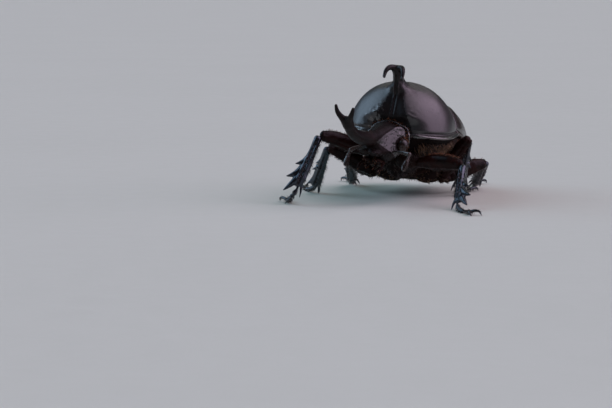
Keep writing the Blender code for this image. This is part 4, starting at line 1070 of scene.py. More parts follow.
# ------------------------------------------------------------------ materials
class Nodes:
    """A material's node tree, built in short calls. Lengths are millimetres after the first scaling."""

    def __init__(self, name):
        self.material = bpy.data.materials.new(name)
        self.material.use_nodes = True
        self.tree = self.material.node_tree
        self.shader = self.tree.nodes["Principled BSDF"]
        self.out = self.tree.nodes["Material Output"]
        place = self.tree.nodes.new("ShaderNodeTexCoord")
        scale = self.tree.nodes.new("ShaderNodeVectorMath")
        scale.operation = "SCALE"
        scale.inputs["Scale"].default_value = 1000.0
        self.tree.links.new(place.outputs["Object"], scale.inputs[0])
        self.mm = scale.outputs[0]

    def link(self, value, socket):
        if isinstance(value, (int, float)):
            socket.default_value = value
        elif isinstance(value, tuple):
            socket.default_value = value if len(value) == len(socket.default_value) else (*value, 1)
        else:
            self.tree.links.new(value, socket)

    def noise(self, scale, detail=4.0, rough=0.55, warp=0.0, stretch=None, where=None):
        n = self.tree.nodes.new("ShaderNodeTexNoise")
        n.inputs["Scale"].default_value = scale
        n.inputs["Detail"].default_value = detail
        n.inputs["Roughness"].default_value = rough
        n.inputs["Distortion"].default_value = warp
        source = self.mm if where is None else where
        if stretch:
            m = self.tree.nodes.new("ShaderNodeMapping")
            m.inputs["Scale"].default_value = stretch
            self.link(source, m.inputs["Vector"])
            source = m.outputs[0]
        self.link(source, n.inputs["Vector"])
        return n.outputs["Fac"]

    def cells(self, scale, feature="F1", randomness=1.0):
        n = self.tree.nodes.new("ShaderNodeTexVoronoi")
        n.feature = feature
        n.inputs["Scale"].default_value = scale
        n.inputs["Randomness"].default_value = randomness
        self.link(self.mm, n.inputs["Vector"])
        return n.outputs["Distance"]

    def spread(self, value, a, b, low=0.0, high=1.0, smooth=True):
        n = self.tree.nodes.new("ShaderNodeMapRange")
        n.interpolation_type = "SMOOTHSTEP" if smooth else "LINEAR"
        for socket, v in zip(("Value", "From Min", "From Max", "To Min", "To Max"), (value, a, b, low, high)):
            self.link(v, n.inputs[socket])
        return n.outputs[0]

    def maths(self, kind, a, b=0.0, c=None):
        n = self.tree.nodes.new("ShaderNodeMath")
        n.operation = kind
        self.link(a, n.inputs[0])
        self.link(b, n.inputs[1])
        if c is not None:
            self.link(c, n.inputs[2])
        return n.outputs[0]

    def mix(self, t, a, b):
        n = self.tree.nodes.new("ShaderNodeMix")
        n.data_type = "RGBA"
        self.link(t, n.inputs[0])
        self.link(a, n.inputs[6])
        self.link(b, n.inputs[7])
        return n.outputs[2]

    def attribute(self, name):
        n = self.tree.nodes.new("ShaderNodeAttribute")
        n.attribute_name = name
        return n.outputs["Fac"]

    def bump(self, height, depth, strength=1.0, under=None):
        """depth in millimetres for a height of 1."""
        n = self.tree.nodes.new("ShaderNodeBump")
        n.inputs["Strength"].default_value = strength
        n.inputs["Distance"].default_value = depth * MM
        self.link(height, n.inputs["Height"])
        if under is not None:
            self.link(under, n.inputs["Normal"])
        return n.outputs[0]

    def set(self, **values):
        for name, value in values.items():
            self.link(value, self.shader.inputs[name.replace("_", " ")])


def chitin(name, dark, warm, warmth=0.5, rough=0.30, coat=0.5, coat_rough=0.16, level=0.5, pits=(1.6, 0.20, 0.018), grain=(9.0, 0.004),
           dust=0.25, dust_colour=(0.16, 0.115, 0.075), scratch=0.4, worn=(0.040, 0.022, 0.016), tint=(1.0, 1.0, 1.0)):
    """Insect cuticle: near-black over a warmer ground, pricked with fine pits, hair-thin scratches, dust held in the hollows,
    browner and smoother where edges are rubbed. pits = (per mm, radius in cells, depth mm)."""
    m = Nodes(name)
    broad = m.noise(0.32, 5, 0.6, 0.4)
    fine = m.noise(2.6, 6, 0.62)
    ground = m.mix(m.maths("MULTIPLY", m.spread(broad, 0.36, 0.68), warmth), dark, warm)
    ground = m.mix(m.spread(fine, 0.42, 0.75, 0.0, 0.45), ground, tuple(0.45 * v for v in dark))
    convex = m.attribute("convex")
    rubbed = m.maths("MULTIPLY", m.spread(convex, 0.42, 1.05), m.spread(m.noise(1.4, 5, 0.65), 0.38, 0.62, 0.25, 1.0))
    colour = m.mix(m.maths("MULTIPLY", rubbed, 0.75), ground, worn)
    hollow = m.spread(convex, -0.12, -0.70)
    grit = m.maths("MULTIPLY", m.maths("MAXIMUM", hollow, 0.16), m.spread(m.noise(5.5, 7, 0.72), 0.50, 0.72))
    grit = m.maths("MULTIPLY", grit, dust)
    colour = m.mix(grit, colour, dust_colour)
    scratches = m.spread(m.noise(1.0, 3, 0.5, 0.6, stretch=(0.7, 0.35, 9.0)), 0.655, 0.70, 0.0, 1.0)
    crossed = m.spread(m.noise(1.0, 3, 0.5, 0.5, stretch=(7.5, 0.5, 0.8)), 0.665, 0.705, 0.0, 1.0)
    scratches = m.maths("MAXIMUM", scratches, crossed)
    r = m.maths("ADD", m.spread(fine, 0.3, 0.7, rough - 0.055, rough + 0.075, False), m.maths("MULTIPLY", grit, 0.5))
    r = m.maths("ADD", r, m.maths("MULTIPLY", scratches, 0.10 * scratch))
    r = m.maths("SUBTRACT", r, m.maths("MULTIPLY", rubbed, 0.06))
    per_mm, radius, depth = pits
    pit = m.spread(m.cells(per_mm), radius * 0.35, radius)
    normal = m.bump(m.noise(0.85, 3, 0.5), 0.050, 0.5)
    normal = m.bump(pit, depth, 0.9, normal)
    normal = m.bump(m.cells(grain[0]), grain[1], 0.55, normal)
    normal = m.bump(m.maths("MULTIPLY", scratches, -1.0), 0.006 * scratch, 0.7, normal)
    m.set(Base_Color=colour, Roughness=r, Normal=normal, Coat_Normal=normal)
    m.set(Coat_Weight=coat, Coat_Roughness=coat_rough, Specular_IOR_Level=level, Specular_Tint=tint, IOR=1.56)
    return m.material


def eye_material():
    m = Nodes("eye_facets")
    cell = m.cells(15.0, randomness=0.25)
    edge = m.cells(15.0, "DISTANCE_TO_EDGE", 0.25)
    tone = m.mix(m.spread(m.noise(0.9, 4, 0.6), 0.35, 0.7), (0.004, 0.004, 0.005), (0.030, 0.014, 0.010))
    tone = m.mix(m.spread(edge, 0.0, 0.10, 0.5, 0.0), tone, (0.045, 0.026, 0.018))
    normal = m.bump(m.spread(cell, 0.0, 0.6, 1.0, 0.0), 0.010, 0.5)
    m.set(Base_Color=tone, Roughness=m.spread(edge, 0.0, 0.12, 0.24, 0.09), Normal=normal, Coat_Normal=normal)
    m.set(Coat_Weight=0.36, Coat_Roughness=0.05, Specular_IOR_Level=0.20, IOR=1.56)
    return m.material


def seta_material(name, root, tip, rough=0.42):
    """Bristles: each has its own tone from the attribute `tone`, paler towards its tip along `along`."""
    m = Nodes(name)
    tone, along = m.attribute("tone"), m.attribute("along")
    grain = m.noise(22.0, 3, 0.6)
    colour = m.mix(m.maths("MULTIPLY", m.spread(along, 0.0, 1.0, 0.15, 1.0), m.spread(tone, 0.0, 1.0, 0.45, 1.0, False)), root, tip)
    colour = m.mix(m.spread(grain, 0.35, 0.7, 0.0, 0.35), colour, tuple(0.5 * v for v in root))
    normal = m.bump(m.noise(30.0, 2, 0.5, stretch=(1, 1, 0.2)), 0.002, 0.4)
    m.set(Base_Color=colour, Roughness=m.spread(grain, 0.3, 0.7, rough - 0.08, rough + 0.10, False), Normal=normal)
    m.set(Coat_Weight=0.15, Coat_Roughness=0.3, Specular_IOR_Level=0.5, Sheen_Weight=0.10, Sheen_Roughness=0.4)
    return m.material


def floor_material():
    m = Nodes("studio_floor")
    tone = m.mix(m.spread(m.noise(0.012, 5, 0.55), 0.3, 0.7), (0.600, 0.655, 0.560), (0.610, 0.665, 0.570))
    tone = m.mix(m.spread(m.noise(1.6, 6, 0.7), 0.45, 0.8, 0.0, 0.06), tone, (0.53, 0.575, 0.49))
    normal = m.bump(m.noise(1.1, 6, 0.7), 0.02, 0.25)
    m.set(Base_Color=tone, Roughness=m.spread(m.noise(0.2, 4, 0.6), 0.3, 0.7, 0.62, 0.78), Normal=normal)
    m.set(Specular_IOR_Level=0.25)
    return m.material


# ------------------------------------------------------------------ bristles
SIDES = 3


def grow(name, patches, material, slot, seed):
    """One joined mesh of tapered, bent bristles in small tufts. Each patch is (skin, weight, lie, options): weight(local,
    normal) says where tufts stand on that skin, lie(local, normal) which way they lie there, both in the skin's own frame.
    UV map OFBake: each tuft is a small patch at its root's place on an unwrap of the skin round its long axis."""
    rng = np.random.default_rng(seed)
    columns = int(math.ceil(math.sqrt(len(patches))))
    rows = int(math.ceil(len(patches) / columns))
    verts, faces, uvs, tones, alongs, base = [], [], [], [], [], 0
    for index, (skin_name, weight, lie, o) in enumerate(patches):
        metres, normals, local, convex, region = SKINS[skin_name]
        rot = region[0]
        ln = normals @ rot
        w = np.clip(weight(local, ln), 0, None)
        if w.sum() <= 0:
            print("no place for", name, skin_name)
            continue
        count = o["count"]
        pick = rng.choice(len(w), count, p=w / w.sum())
        n = normals[pick]
        t1 = np.cross(n, (0.31, 0.52, 0.79))
        t1 /= np.linalg.norm(t1, axis=1)[:, None]
        t2 = np.cross(n, t1)
        jitter = rng.uniform(-0.5, 0.5, (count, 2)) * o.get("scatter", 0.16)
        root = metres[pick] / MM + t1 * jitter[:, :1] + t2 * jitter[:, 1:] - n * 0.05
        flow = lie(local[pick], ln[pick]) @ rot.T
        flow -= n * np.minimum((flow * n).sum(1), 0)[:, None] * 0.85
        flow /= np.maximum(np.linalg.norm(flow, axis=1), 1e-9)[:, None]
        # place on the unwrap
        centre = np.median(local, axis=0)
        axis = int(np.argmax(np.ptp(local, axis=0)))
        a, b = (axis + 1) % 3, (axis + 2) % 3
        q = local[pick]
        angle = np.arctan2(q[:, a] - centre[a], q[:, b] - centre[b]) / (2 * math.pi) + 0.5
        low, size = local[:, axis].min(), np.ptp(local[:, axis])
        u0 = (index % columns + 0.02 + 0.95 * angle) / columns
        v0 = (index // columns + 0.02 + 0.95 * (q[:, axis] - low) / size) / rows
        tuft_tone = rng.uniform(0, 1, count)
        strands, steps = o.get("strands", 3), o.get("steps", 4)
        for s in range(strands):
            L = o["length"] * rng.uniform(0.55, 1.15, count)
            wild = rng.normal(size=(count, 3)) * o.get("spread", 0.22)
            start = n * o.get("stand", 0.5) + flow * (1 - 0.5 * o.get("stand", 0.5)) + wild
            start /= np.linalg.norm(start, axis=1)[:, None]
            end = flow * o.get("bend", 0.6) + wild * 0.6 + np.array(o.get("pull", (0, 0, 0)))
            r = o.get("radius", 0.035) * rng.uniform(0.8, 1.2, count)
            foot = root + (t1 * rng.normal(size=(count, 1)) + t2 * rng.normal(size=(count, 1))) * 0.035
            side = np.cross(start, (0.1, 0.2, 0.97))
            side /= np.maximum(np.linalg.norm(side, axis=1), 1e-6)[:, None]
            other = np.cross(start, side)
            rings = []
            for k in range(steps):
                t = k / (steps - 1)
                centre_line = foot + (start * t + end * t * t * 0.55) * L[:, None]
                if k == steps - 1:
                    rings.append(centre_line[:, None, :])
                else:
                    thick = (r * (1 - 0.75 * t ** 1.5))[:, None]
                    ring = [centre_line + thick * (math.cos(2 * math.pi * j / SIDES) * side + math.sin(2 * math.pi * j / SIDES) * other) for j in range(SIDES)]
                    rings.append(np.stack(ring, 1))
            block = np.concatenate(rings, 1)
            per = block.shape[1]
            verts.append(block.reshape(-1, 3))
            tri = []
            for k in range(steps - 2):
                for j in range(SIDES):
                    a0, a1 = k * SIDES + j, k * SIDES + (j + 1) % SIDES
                    tri += [(a0, a1, a1 + SIDES), (a0, a1 + SIDES, a0 + SIDES)]
            last = (steps - 2) * SIDES
            tri += [(last + j, last + (j + 1) % SIDES, per - 1) for j in range(SIDES)]
            tri.append((0, 2, 1))
            tri = np.array(tri)
            faces.append((base + np.arange(count)[:, None, None] * per + tri[None]).reshape(-1, 3))
            base += count * per
            across = np.array([(j + 0.5) / SIDES for _ in range(steps - 1) for j in range(SIDES)] + [0.5])
            height = np.array([k / (steps - 1) for k in range(steps - 1) for _ in range(SIDES)] + [1.0])
            u = u0[:, None] + 0.003 * (s + across[None]) / strands
            v = v0[:, None] + 0.003 * height[None]
            uvs.append(np.stack([u, v], -1).reshape(-1, 2))
            tones.append(np.repeat(np.clip(tuft_tone + rng.uniform(-0.2, 0.2, count), 0, 1), per))
            alongs.append(np.tile(height, count))
    verts, faces, uvs = np.concatenate(verts), np.concatenate(faces), np.concatenate(uvs)
    obj = mesh_object(name, in_box(verts * MM), faces, material, [("tone", np.concatenate(tones)), ("along", np.concatenate(alongs))])
    layer = obj.data.uv_layers.new(name="OFBake")
    corner = np.empty(len(obj.data.loops), np.int32)
    obj.data.loops.foreach_get("vertex_index", corner)
    layer.data.foreach_set("uv", np.ascontiguousarray(uvs[corner], np.float32).ravel())
    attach(obj, "root")
    print(f"{name:24s} {len(faces):7d} bristle triangles")
    return obj


def constant(*v):
    return lambda p, n: np.tile(np.array(v, float), (len(p), 1))


def bristles():
    tan = seta_material("seta_tan", (0.034, 0.016, 0.008), (0.30, 0.170, 0.070))
    rust = seta_material("seta_rust", (0.060, 0.020, 0.007), (0.34, 0.125, 0.038))
    dark = seta_material("seta_dark", (0.010, 0.005, 0.004), (0.052, 0.021, 0.011))
    few = 1.0
    num = lambda k: max(8, int(k * few))
    head_gap = lambda p: head_shape(to_frame(HEAD, to_world(FORE, p)))
    outward = lambda dx, dy, dz: (lambda p, n: np.stack([np.sign(p[:, 0]) * dx, np.full(len(p), dy), np.full(len(p), dz)], 1))

    def round_head(p, n):
        e = head_gap(p)
        return gauss(e, 0.34, 0.22) * ramp(-10.2, -11.0, p[:, 1])

    def to_head(p, n):
        step = 0.05
        e = head_gap(p)
        g = np.stack([head_gap(p + step * np.eye(3)[i]) - e for i in range(3)], 1) / step
        return -g * 0.8 + np.array((0, -0.9, 0.0))

    def under_bead(p, n):
        drop = pro_margin(np.minimum(p[:, 1], 0.5)) - p[:, 2]
        return ramp(0.1, 0.5, drop) * ramp(3.2, 1.2, drop) * ramp(3.8, 5.2, np.abs(p[:, 0])) * ramp(0.6, 0.0, n[:, 2])

    def chest(p, n):
        return ramp(-0.2, -0.7, n[:, 2]) * ramp(-1.5, -3.0, p[:, 2])

    over_head = lambda p, n: gauss(head_gap(p), 0.78, 0.10) * ramp(0.8, 2.2, p[:, 2]) * ramp(-10.8, -11.8, p[:, 1])
    grow("coat_neck_fringe", [
        ("pronotum", round_head, to_head, dict(count=num(280), length=0.58, stand=0.3, spread=0.2, radius=0.034, bend=0.4)),
        ("pronotum", over_head, outward(0.1, -0.8, 0.5), dict(count=num(55), length=0.46, stand=0.5, spread=0.25, radius=0.032, bend=0.3)),
    ], rust, "feeler_brown", 101)
    grow("coat_fore_underside", [
        ("pronotum", under_bead, outward(0.5, -0.15, -0.8), dict(count=num(300), length=1.0, stand=0.25, spread=0.30, radius=0.028, pull=(0, 0, -0.25))),
    ], tan, "belly_brown", 102)
    grow("coat_fore_chest", [
        ("pronotum", chest, outward(0.2, 0.5, -0.5), dict(count=num(200), length=0.55, stand=0.15, spread=0.2, radius=0.024)),
        ("coxa_fore_left", lambda p, n: np.ones(len(p)), constant(0.4, -0.5, -0.4), dict(count=num(80), length=0.5, stand=0.15, spread=0.25, radius=0.024)),
        ("coxa_fore_right", lambda p, n: np.ones(len(p)), constant(-0.4, -0.5, -0.4), dict(count=num(80), length=0.5, stand=0.15, spread=0.25, radius=0.024)),
    ], dark, "belly_brown", 108)

    def rear_wall(p, n):
        return ramp(-0.6, -0.3, p[:, 1]) * ramp(0.3, 0.7, n[:, 1]) * ramp(-2.6, -1.0, pronotum_dome(p)) * ramp(-6.5, -5.0, p[:, 2]) * (0.10 + 0.90 * ramp(6.5, 3.5, p[:, 2]))

    grow("coat_waist", [
        ("pronotum", rear_wall, outward(0.1, 0.9, -0.1), dict(count=num(340), length=0.80, stand=0.8, spread=0.26, radius=0.032)),
    ], dark, "belly_brown", 110)

    # head: behind and below the eyes, chin, lip and palps
    def behind_eye(p, n):
        q = p * np.array((1, 1, 1))
        q[:, 0] = np.abs(q[:, 0])
        d = ellipsoid(q, EYE_C, EYE_R)
        return gauss(d, 0.25, 0.22) * ramp(-1.6, -0.6, q[:, 1]) * ramp(1.4, 0.2, q[:, 2])

    grow("coat_face", [
        ("head", behind_eye, outward(0.9, 0.1, 0.15), dict(count=num(200), length=0.55, stand=0.5, spread=0.22, radius=0.032)),
        ("mouthparts", lambda p, n: ramp(-3.4, -4.4, p[:, 1]), outward(-0.1, -0.7, -0.8), dict(count=num(60), length=0.36, stand=0.35, spread=0.3, radius=0.022)),
    ], rust, "feeler_brown", 103)
    grow("coat_chin", [
        ("head", lambda p, n: ramp(-2.6, -3.6, p[:, 2]) * ramp(-0.1, -0.6, n[:, 2]), outward(0.3, -0.7, -0.5), dict(count=num(90), length=0.40, stand=0.3, spread=0.3, radius=0.022)),
        ("head", lambda p, n: gauss(p[:, 2], -3.6, 0.35) * ramp(-5.8, -6.4, p[:, 1]), outward(0.2, -0.9, -0.4), dict(count=num(60), length=0.34, stand=0.3, spread=0.25, radius=0.022)),
    ], dark, "feeler_brown", 109)

    # limbs: fringes along the thighs' edges, spines in the shins' grooves, toes
    thighs, shins = [], []
    for k, (name, l) in enumerate(LEGS.items()):
        hip, knee = hip_point(l), l["knee"]
        along = unit(knee - hip)
        up = unit(np.array([0, 0, 1]) - along * along[2])
        across = np.cross(along, up)
        length = np.linalg.norm(knee - hip)

        def edge(p, n, hip=hip, along=along, up=up, length=length, sign=1.0):
            s = (p - hip) @ along / length
            return ramp(0.72, 0.95, sign * (n @ up)) * ramp(0.08, 0.18, s) * ramp(0.96, 0.86, s)

        upper = lambda p, n, edge=edge: edge(p, n, sign=1.0)
        lower = lambda p, n, edge=edge: edge(p, n, sign=-1.0)
        fringe_up = constant(*(0.9 * along + 0.5 * up))
        fringe_low = constant(*(0.8 * along - 0.6 * up))
        fore_left = name == "fore_left"
        thighs.append((f"femur_{name}", upper, fringe_up, dict(count=num(120 if fore_left else 30), length=0.40, stand=0.28, spread=0.18, radius=0.028)))
        shins.append((f"femur_{name}", lower, fringe_low, dict(count=num(60), length=0.46, stand=0.4, spread=0.25, radius=0.026)))
        shins.append((f"femur_{name}", lambda p, n: np.ones(len(p)), fringe_up, dict(count=num(36), length=0.22, stand=0.25, spread=0.25, radius=0.020, strands=1)))
        down, out, flat = leg_axes(l["knee"], l["ankle"], l["teeth"])

        def groove(p, n, l=l):
            s, o, f, L = leg_coords(p, l)
            t = s / L
            return gauss(o - 0.3 * t, 0.02, 0.22) * ramp(0.12, 0.25, t) * ramp(1.0, 0.9, t)

        def inner(p, n, l=l, out=out):
            s, o, f, L = leg_coords(p, l)
            return ramp(0.5, 0.85, -(n @ out)) * ramp(0.1, 0.2, s / L) * ramp(1.02, 0.95, s / L)

        shins.append((f"tibia_{name}", groove, constant(*(0.9 * down)), dict(count=num(90), length=0.50, stand=0.35, spread=0.15, radius=0.036, strands=2)))
        shins.append((f"tibia_{name}", inner, constant(*(0.8 * down - 0.5 * out)), dict(count=num(75), length=0.52, stand=0.5, spread=0.2, radius=0.030, strands=2)))
        toe = unit(l["toes"][-1] - l["ankle"])
        shins.append((f"tarsus_{name}", lambda p, n: ramp(0.3, -0.5, n[:, 2]) + 0.25, constant(*(0.9 * toe + np.array((0, 0, -0.25)))),
                      dict(count=num(110), length=0.48, stand=0.45, spread=0.25, radius=0.028, strands=2)))
    grow("coat_thigh_fringes", thighs, rust, "belly_brown", 104)
    grow("coat_shin_spines", shins, dark, "limb_black", 105)

    # hind body underside
    grow("coat_belly", [
        ("metathorax", lambda p, n: ramp(-0.1, -0.6, n[:, 2]) * ramp(10.0, 6.0, p[:, 1]), outward(0.3, 0.9, -0.1), dict(count=num(640), length=0.42, stand=0.12, spread=0.16, radius=0.026)),
        ("metathorax", lambda p, n: ramp(0.4, 0.8, np.abs(n[:, 0])) * ramp(1.0, 0.2, n[:, 2]) * ramp(1.2, 0.2, p[:, 2]), outward(0.5, 0.6, -0.6), dict(count=num(420), length=0.7, stand=0.25, spread=0.25, radius=0.028)),
        ("abdomen", lambda p, n: sum(gauss(p[:, 1] - 0.010 * p[:, 0] ** 2, line - 0.35, 0.14) for line in STERNITES[:5]) * ramp(0.2, -0.3, n[:, 2]), outward(0.1, 0.95, -0.2),
         dict(count=num(620), length=0.6, stand=0.35, spread=0.18, radius=0.030)),
        ("pygidium", lambda p, n: ramp(23.0, 24.0, p[:, 1]) + 0.6 * gauss(p[:, 1], 20.7, 0.2), outward(0.1, 0.8, -0.3), dict(count=num(300), length=0.75, stand=0.5, spread=0.25, radius=0.032)),
        ("coxa_mid_left", lambda p, n: np.ones(len(p)), constant(0.5, 0.2, -0.4), dict(count=num(100), length=0.58, stand=0.40, spread=0.3, radius=0.032)),
        ("coxa_mid_right", lambda p, n: np.ones(len(p)), constant(-0.5, 0.2, -0.4), dict(count=num(100), length=0.58, stand=0.40, spread=0.3, radius=0.032)),
        ("coxa_hind_left", lambda p, n: np.ones(len(p)), constant(0.5, 0.5, -0.3), dict(count=num(100), length=0.58, stand=0.40, spread=0.3, radius=0.032)),
        ("coxa_hind_right", lambda p, n: np.ones(len(p)), constant(-0.5, 0.5, -0.3), dict(count=num(100), length=0.58, stand=0.40, spread=0.3, radius=0.032)),
    ], tan, "belly_brown", 106)
    grow("coat_feeler_bristles", [(f"antenna_{w}", lambda p, n: np.ones(len(p)), outward(0.6, -0.3, -0.6), dict(count=num(110), length=0.32, stand=0.5, spread=0.25, radius=0.022, strands=2)) for w in ("left", "right")],
         dark, "feeler_brown", 107)


# ------------------------------------------------------------------ pieces
ORIGIN = np.array([ORIGIN_X, ORIGIN_Y, 0.0])
BOX_LOW, BOX_HIGH = np.array(CAD_BOX[0], float), np.array(CAD_BOX[1], float)
SKINS = {}


def in_box(points):
    """Metres; no piece reaches past the outline of the solids."""
    return np.clip(points, BOX_LOW + 2e-6, BOX_HIGH - 2e-6)


def mesh_object(name, points, polys, material, attributes=()):
    mesh = bpy.data.meshes.new(name)
    mesh.vertices.add(len(points))
    mesh.vertices.foreach_set("co", np.ascontiguousarray(points, np.float32).ravel())
    n = polys.shape[1]
    mesh.loops.add(polys.size)
    mesh.loops.foreach_set("vertex_index", polys.astype(np.int32).ravel())
    mesh.polygons.add(len(polys))
    mesh.polygons.foreach_set("loop_start", np.arange(0, polys.size, n, dtype=np.int32))
    mesh.update(calc_edges=True)
    for key, values in attributes:
        mesh.attributes.new(key, "FLOAT", "POINT").data.foreach_set("value", np.ascontiguousarray(values, np.float32))
    mesh.polygons.foreach_set("use_smooth", np.ones(len(polys), bool))
    mesh.validate()
    mesh.materials.append(material)
    obj = bpy.data.objects.new(name, mesh)
    bpy.context.scene.collection.objects.link(obj)
    return obj


def build_skin(job):
    name, form, low, high, step, region = job[:6]
    step = step * 1.0
    points, quads = fine_skin(form, low, high, step)
    convex = edge_wear(points, quads)
    world = to_world(region, points)
    normals = corner_normals(world, quads)
    middle = np.median(convex)
    convex = (convex - middle) / max(np.percentile(convex, 99) - middle, 0.2)
    return name, world, quads, normals, convex, points


def around(points, margin):
    points = np.asarray(points, float)
    return points.min(0) - margin, points.max(0) + margin


def body_jobs():
    """(name, form, low, high, step, region, nodes, slot, material key)"""
    jobs = []
    head_gap = lambda p, region, grow: head_whole(to_frame(HEAD, to_world(region, p))) - grow
    fore = [n for n in LEGS if LEGS[n]["fore"]]
    hind = [n for n in LEGS if not LEGS[n]["fore"]]

    def pronotum(p):
        d = thorax_whole(p)
        above = np.maximum(-horn_plane(p), 0)
        d = d + 0.30 * above ** 2                                       # sinks under the horn's own surface past its root
        d = smax(d, -PRO_LENGTH - p[:, 1] - 0.5 * np.maximum(p[:, 2] - 2.4, 0) ** 2, 1.7)
        d = smax(d, p[:, 1] + 0.12, 0.4)
        w = to_world(FORE, p)
        d = smax(d, -(head_whole(to_frame(HEAD, w)) - 0.12), 0.10)
        for n in fore:
            d = smax(d, -coxa_form(w, n, 0.16), 0.12)
        return d

    def thoracic_horn(p):
        below = np.maximum(horn_plane(p), 0)
        return smax(thorax_whole(p) + 0.30 * below ** 2, horn_plane(p) - 1.1, 0.05)

    jobs.append(("pronotum", pronotum, (-10.6, -14.4, -7.8), (10.6, 0.8, 13.2), 0.17, FORE, ("pronotum",), "shell_black", "shell"))
    jobs.append(("collar", collar_rims, (-6.6, -14.6, -3.2), (6.6, -10.2, 5.4), 0.075, FORE, (), "shell_black", "rim"))
    jobs.append(("thoracic_horn", thoracic_horn, (-4.5, -16.2, 7.0), (4.5, -8.0, 14.6), 0.11, FORE, ("thoracic_horn",), "horn_black", "crest"))

    split = lambda p: -(p[:, 1] + 6.9)

    def head(p):
        over = np.maximum(split(p), 0)
        d = smax(head_whole(p) + 0.30 * over ** 2, split(p) - 1.3, 0.05)
        for s in (-1, 1):
            d = smax(d, -eye_form(p, s, 0.07), 0.10)
        return d

    def horn(p):
        under = np.maximum(-split(p), 0)
        return smax(head_horn_whole(p) + 0.30 * under ** 2, -split(p) - 1.3, 0.05)

    jobs.append(("head", head, (-5.4, -8.6, -6.0), (5.4, 3.4, 3.4), 0.12, HEAD, ("head",), "horn_black", "head"))
    jobs.append(("cephalic_horn", horn, (-3.6, -21.0, -4.0), (3.6, -5.2, 5.0), 0.11, HEAD, ("cephalic_horn",), "horn_black", "horn"))
    for side, word in ((1, "left"), (-1, "right")):
        c = EYE_C * (side, 1, 1)
        jobs.append((f"eye_{word}", lambda p, side=side: eye_fine(p, side), c - 1.8, c + 1.8, 0.10, HEAD, (f"eye_{word}",), "eye_black", "eye"))
        low, high = around([(side * 2.2, -5.6, -7.8), (side * 7.6, -2.4, -1.6)], 0.3)
        form = antenna_fine(side)
        jobs.append((f"antenna_{word}", form, low, high, 0.055, HEAD, (f"antenna_{word}",), "feeler_brown", "feeler"))
    jobs.append(("mouthparts", mouth_fine, (-3.2, -6.8, -7.6), (3.2, -0.8, -3.6), 0.075, HEAD, ("mouthparts",), "feeler_brown", "mouth"))
    for side, word in ((1, "left"), (-1, "right")):
        low, high = around([(0, 0, -0.2), (side * 10.3, 24.2, 10.4)], 0.3)
        jobs.append((f"elytron_{word}", lambda p, side=side: elytron_whole(p, side), low, high, 0.17, HIND, (f"elytron_{word}",), "wing_case_brown", "wing"))

    def scutellum(p):
        d = smax(elytra_outer(p) + 0.10, scutellum_zone(p) - 0.05, 0.2)
        d = smax(d, -(elytra_outer(p) + 1.1), 0.3)
        d = d + 0.05 * plate_dots(p, 0.5, 0.16, 14)
        return smax(d, -(fore_clear(p) + 0.16), 0.1)

    jobs.append(("scutellum", scutellum, (-2.4, -0.3, 6.0), (2.4, 4.0, 10.4), 0.10, HIND, ("scutellum",), "wing_case_brown", "wing"))

    def trunk(p, low, high):
        d = trunk_form(p) - trunk_relief(p)
        d = smax(d, smax(low - p[:, 1], p[:, 1] - high, 0.15), 0.15)
        if low < 5:
            d = smax(d, -fore_clear(p), 0.2)
        w = to_world(HIND, p)
        for n in hind:
            d = smax(d, -coxa_form(w, n, 0.14), 0.10)
        return d

    jobs.append(("metathorax", lambda p: trunk(p, 0.3, 9.42), (-9.9, -0.2, -7.4), (9.9, 10.0, 8.0), 0.20, HIND, ("metathorax",), "belly_brown", "belly"))
    jobs.append(("abdomen", lambda p: trunk(p, 9.50, 20.32), (-9.9, 9.2, -7.2), (9.9, 20.9, 8.0), 0.20, HIND, ("abdomen",), "belly_brown", "belly"))
    jobs.append(("pygidium", lambda p: trunk(p, 20.40, 26.0), (-8.4, 20.0, -5.2), (8.4, 25.4, 6.0), 0.16, HIND, ("pygidium",), "belly_brown", "belly"))

    for name, l in LEGS.items():
        centre = to_world(l["region"], l["coxa"])
        hip = hip_point(l)
        femur, tibia, tarsus = femur_fine(l), tibia_fine(l), tarsus_fine(l)
        plain = femur_form(l)

        def body_form(p, l=l):
            q = to_frame(l["region"], p)
            return prothorax(q) if l["fore"] else np.minimum(trunk_form(q), elytra_outer(q))

        low, high = around([centre - 3.4, centre + 3.4, hip], 0.8)
        jobs.append((f"coxa_{name}", lambda p, name=name: coxa_fine(p, name), low, high, 0.15, WORLD, (f"coxa_{name}",), "limb_black", "coxa"))

        def femur_clear(p, name=name, femur=femur, body_form=body_form):
            d = smax(femur(p), -coxa_form(p, name, 0.06), 0.05)
            d = smax(d, -(body_form(p) - 0.12), 0.05)
            q = to_frame(HEAD, p)
            return smax(d, -(head_form(q) - 0.12), 0.05) if LEGS[name]["fore"] else d

        low, high = around([hip, l["knee"]], 2.2)
        jobs.append((f"femur_{name}", femur_clear, low, high, 0.13, WORLD, (f"femur_{name}",), "limb_black", "femur"))
        low, high = around([l["knee"], l["ankle"]], 3.2)
        low[2] = max(low[2], -0.3)
        jobs.append((f"tibia_{name}", lambda p, a=tibia, b=plain: smax(a(p), -(b(p) - 0.06), 0.05), low, high, 0.105, WORLD, (f"tibia_{name}",), "limb_black", "tibia"))
        low, high = around(tarsus_points(l) + [l["ankle"]], 3.0)
        low[2] = -0.3
        high[2] = min(high[2], 5.5)
        jobs.append((f"tarsus_{name}", tarsus, low, high, 0.065, WORLD, (f"tarsus_{name}",), "limb_black", "tarsus"))
    return jobs


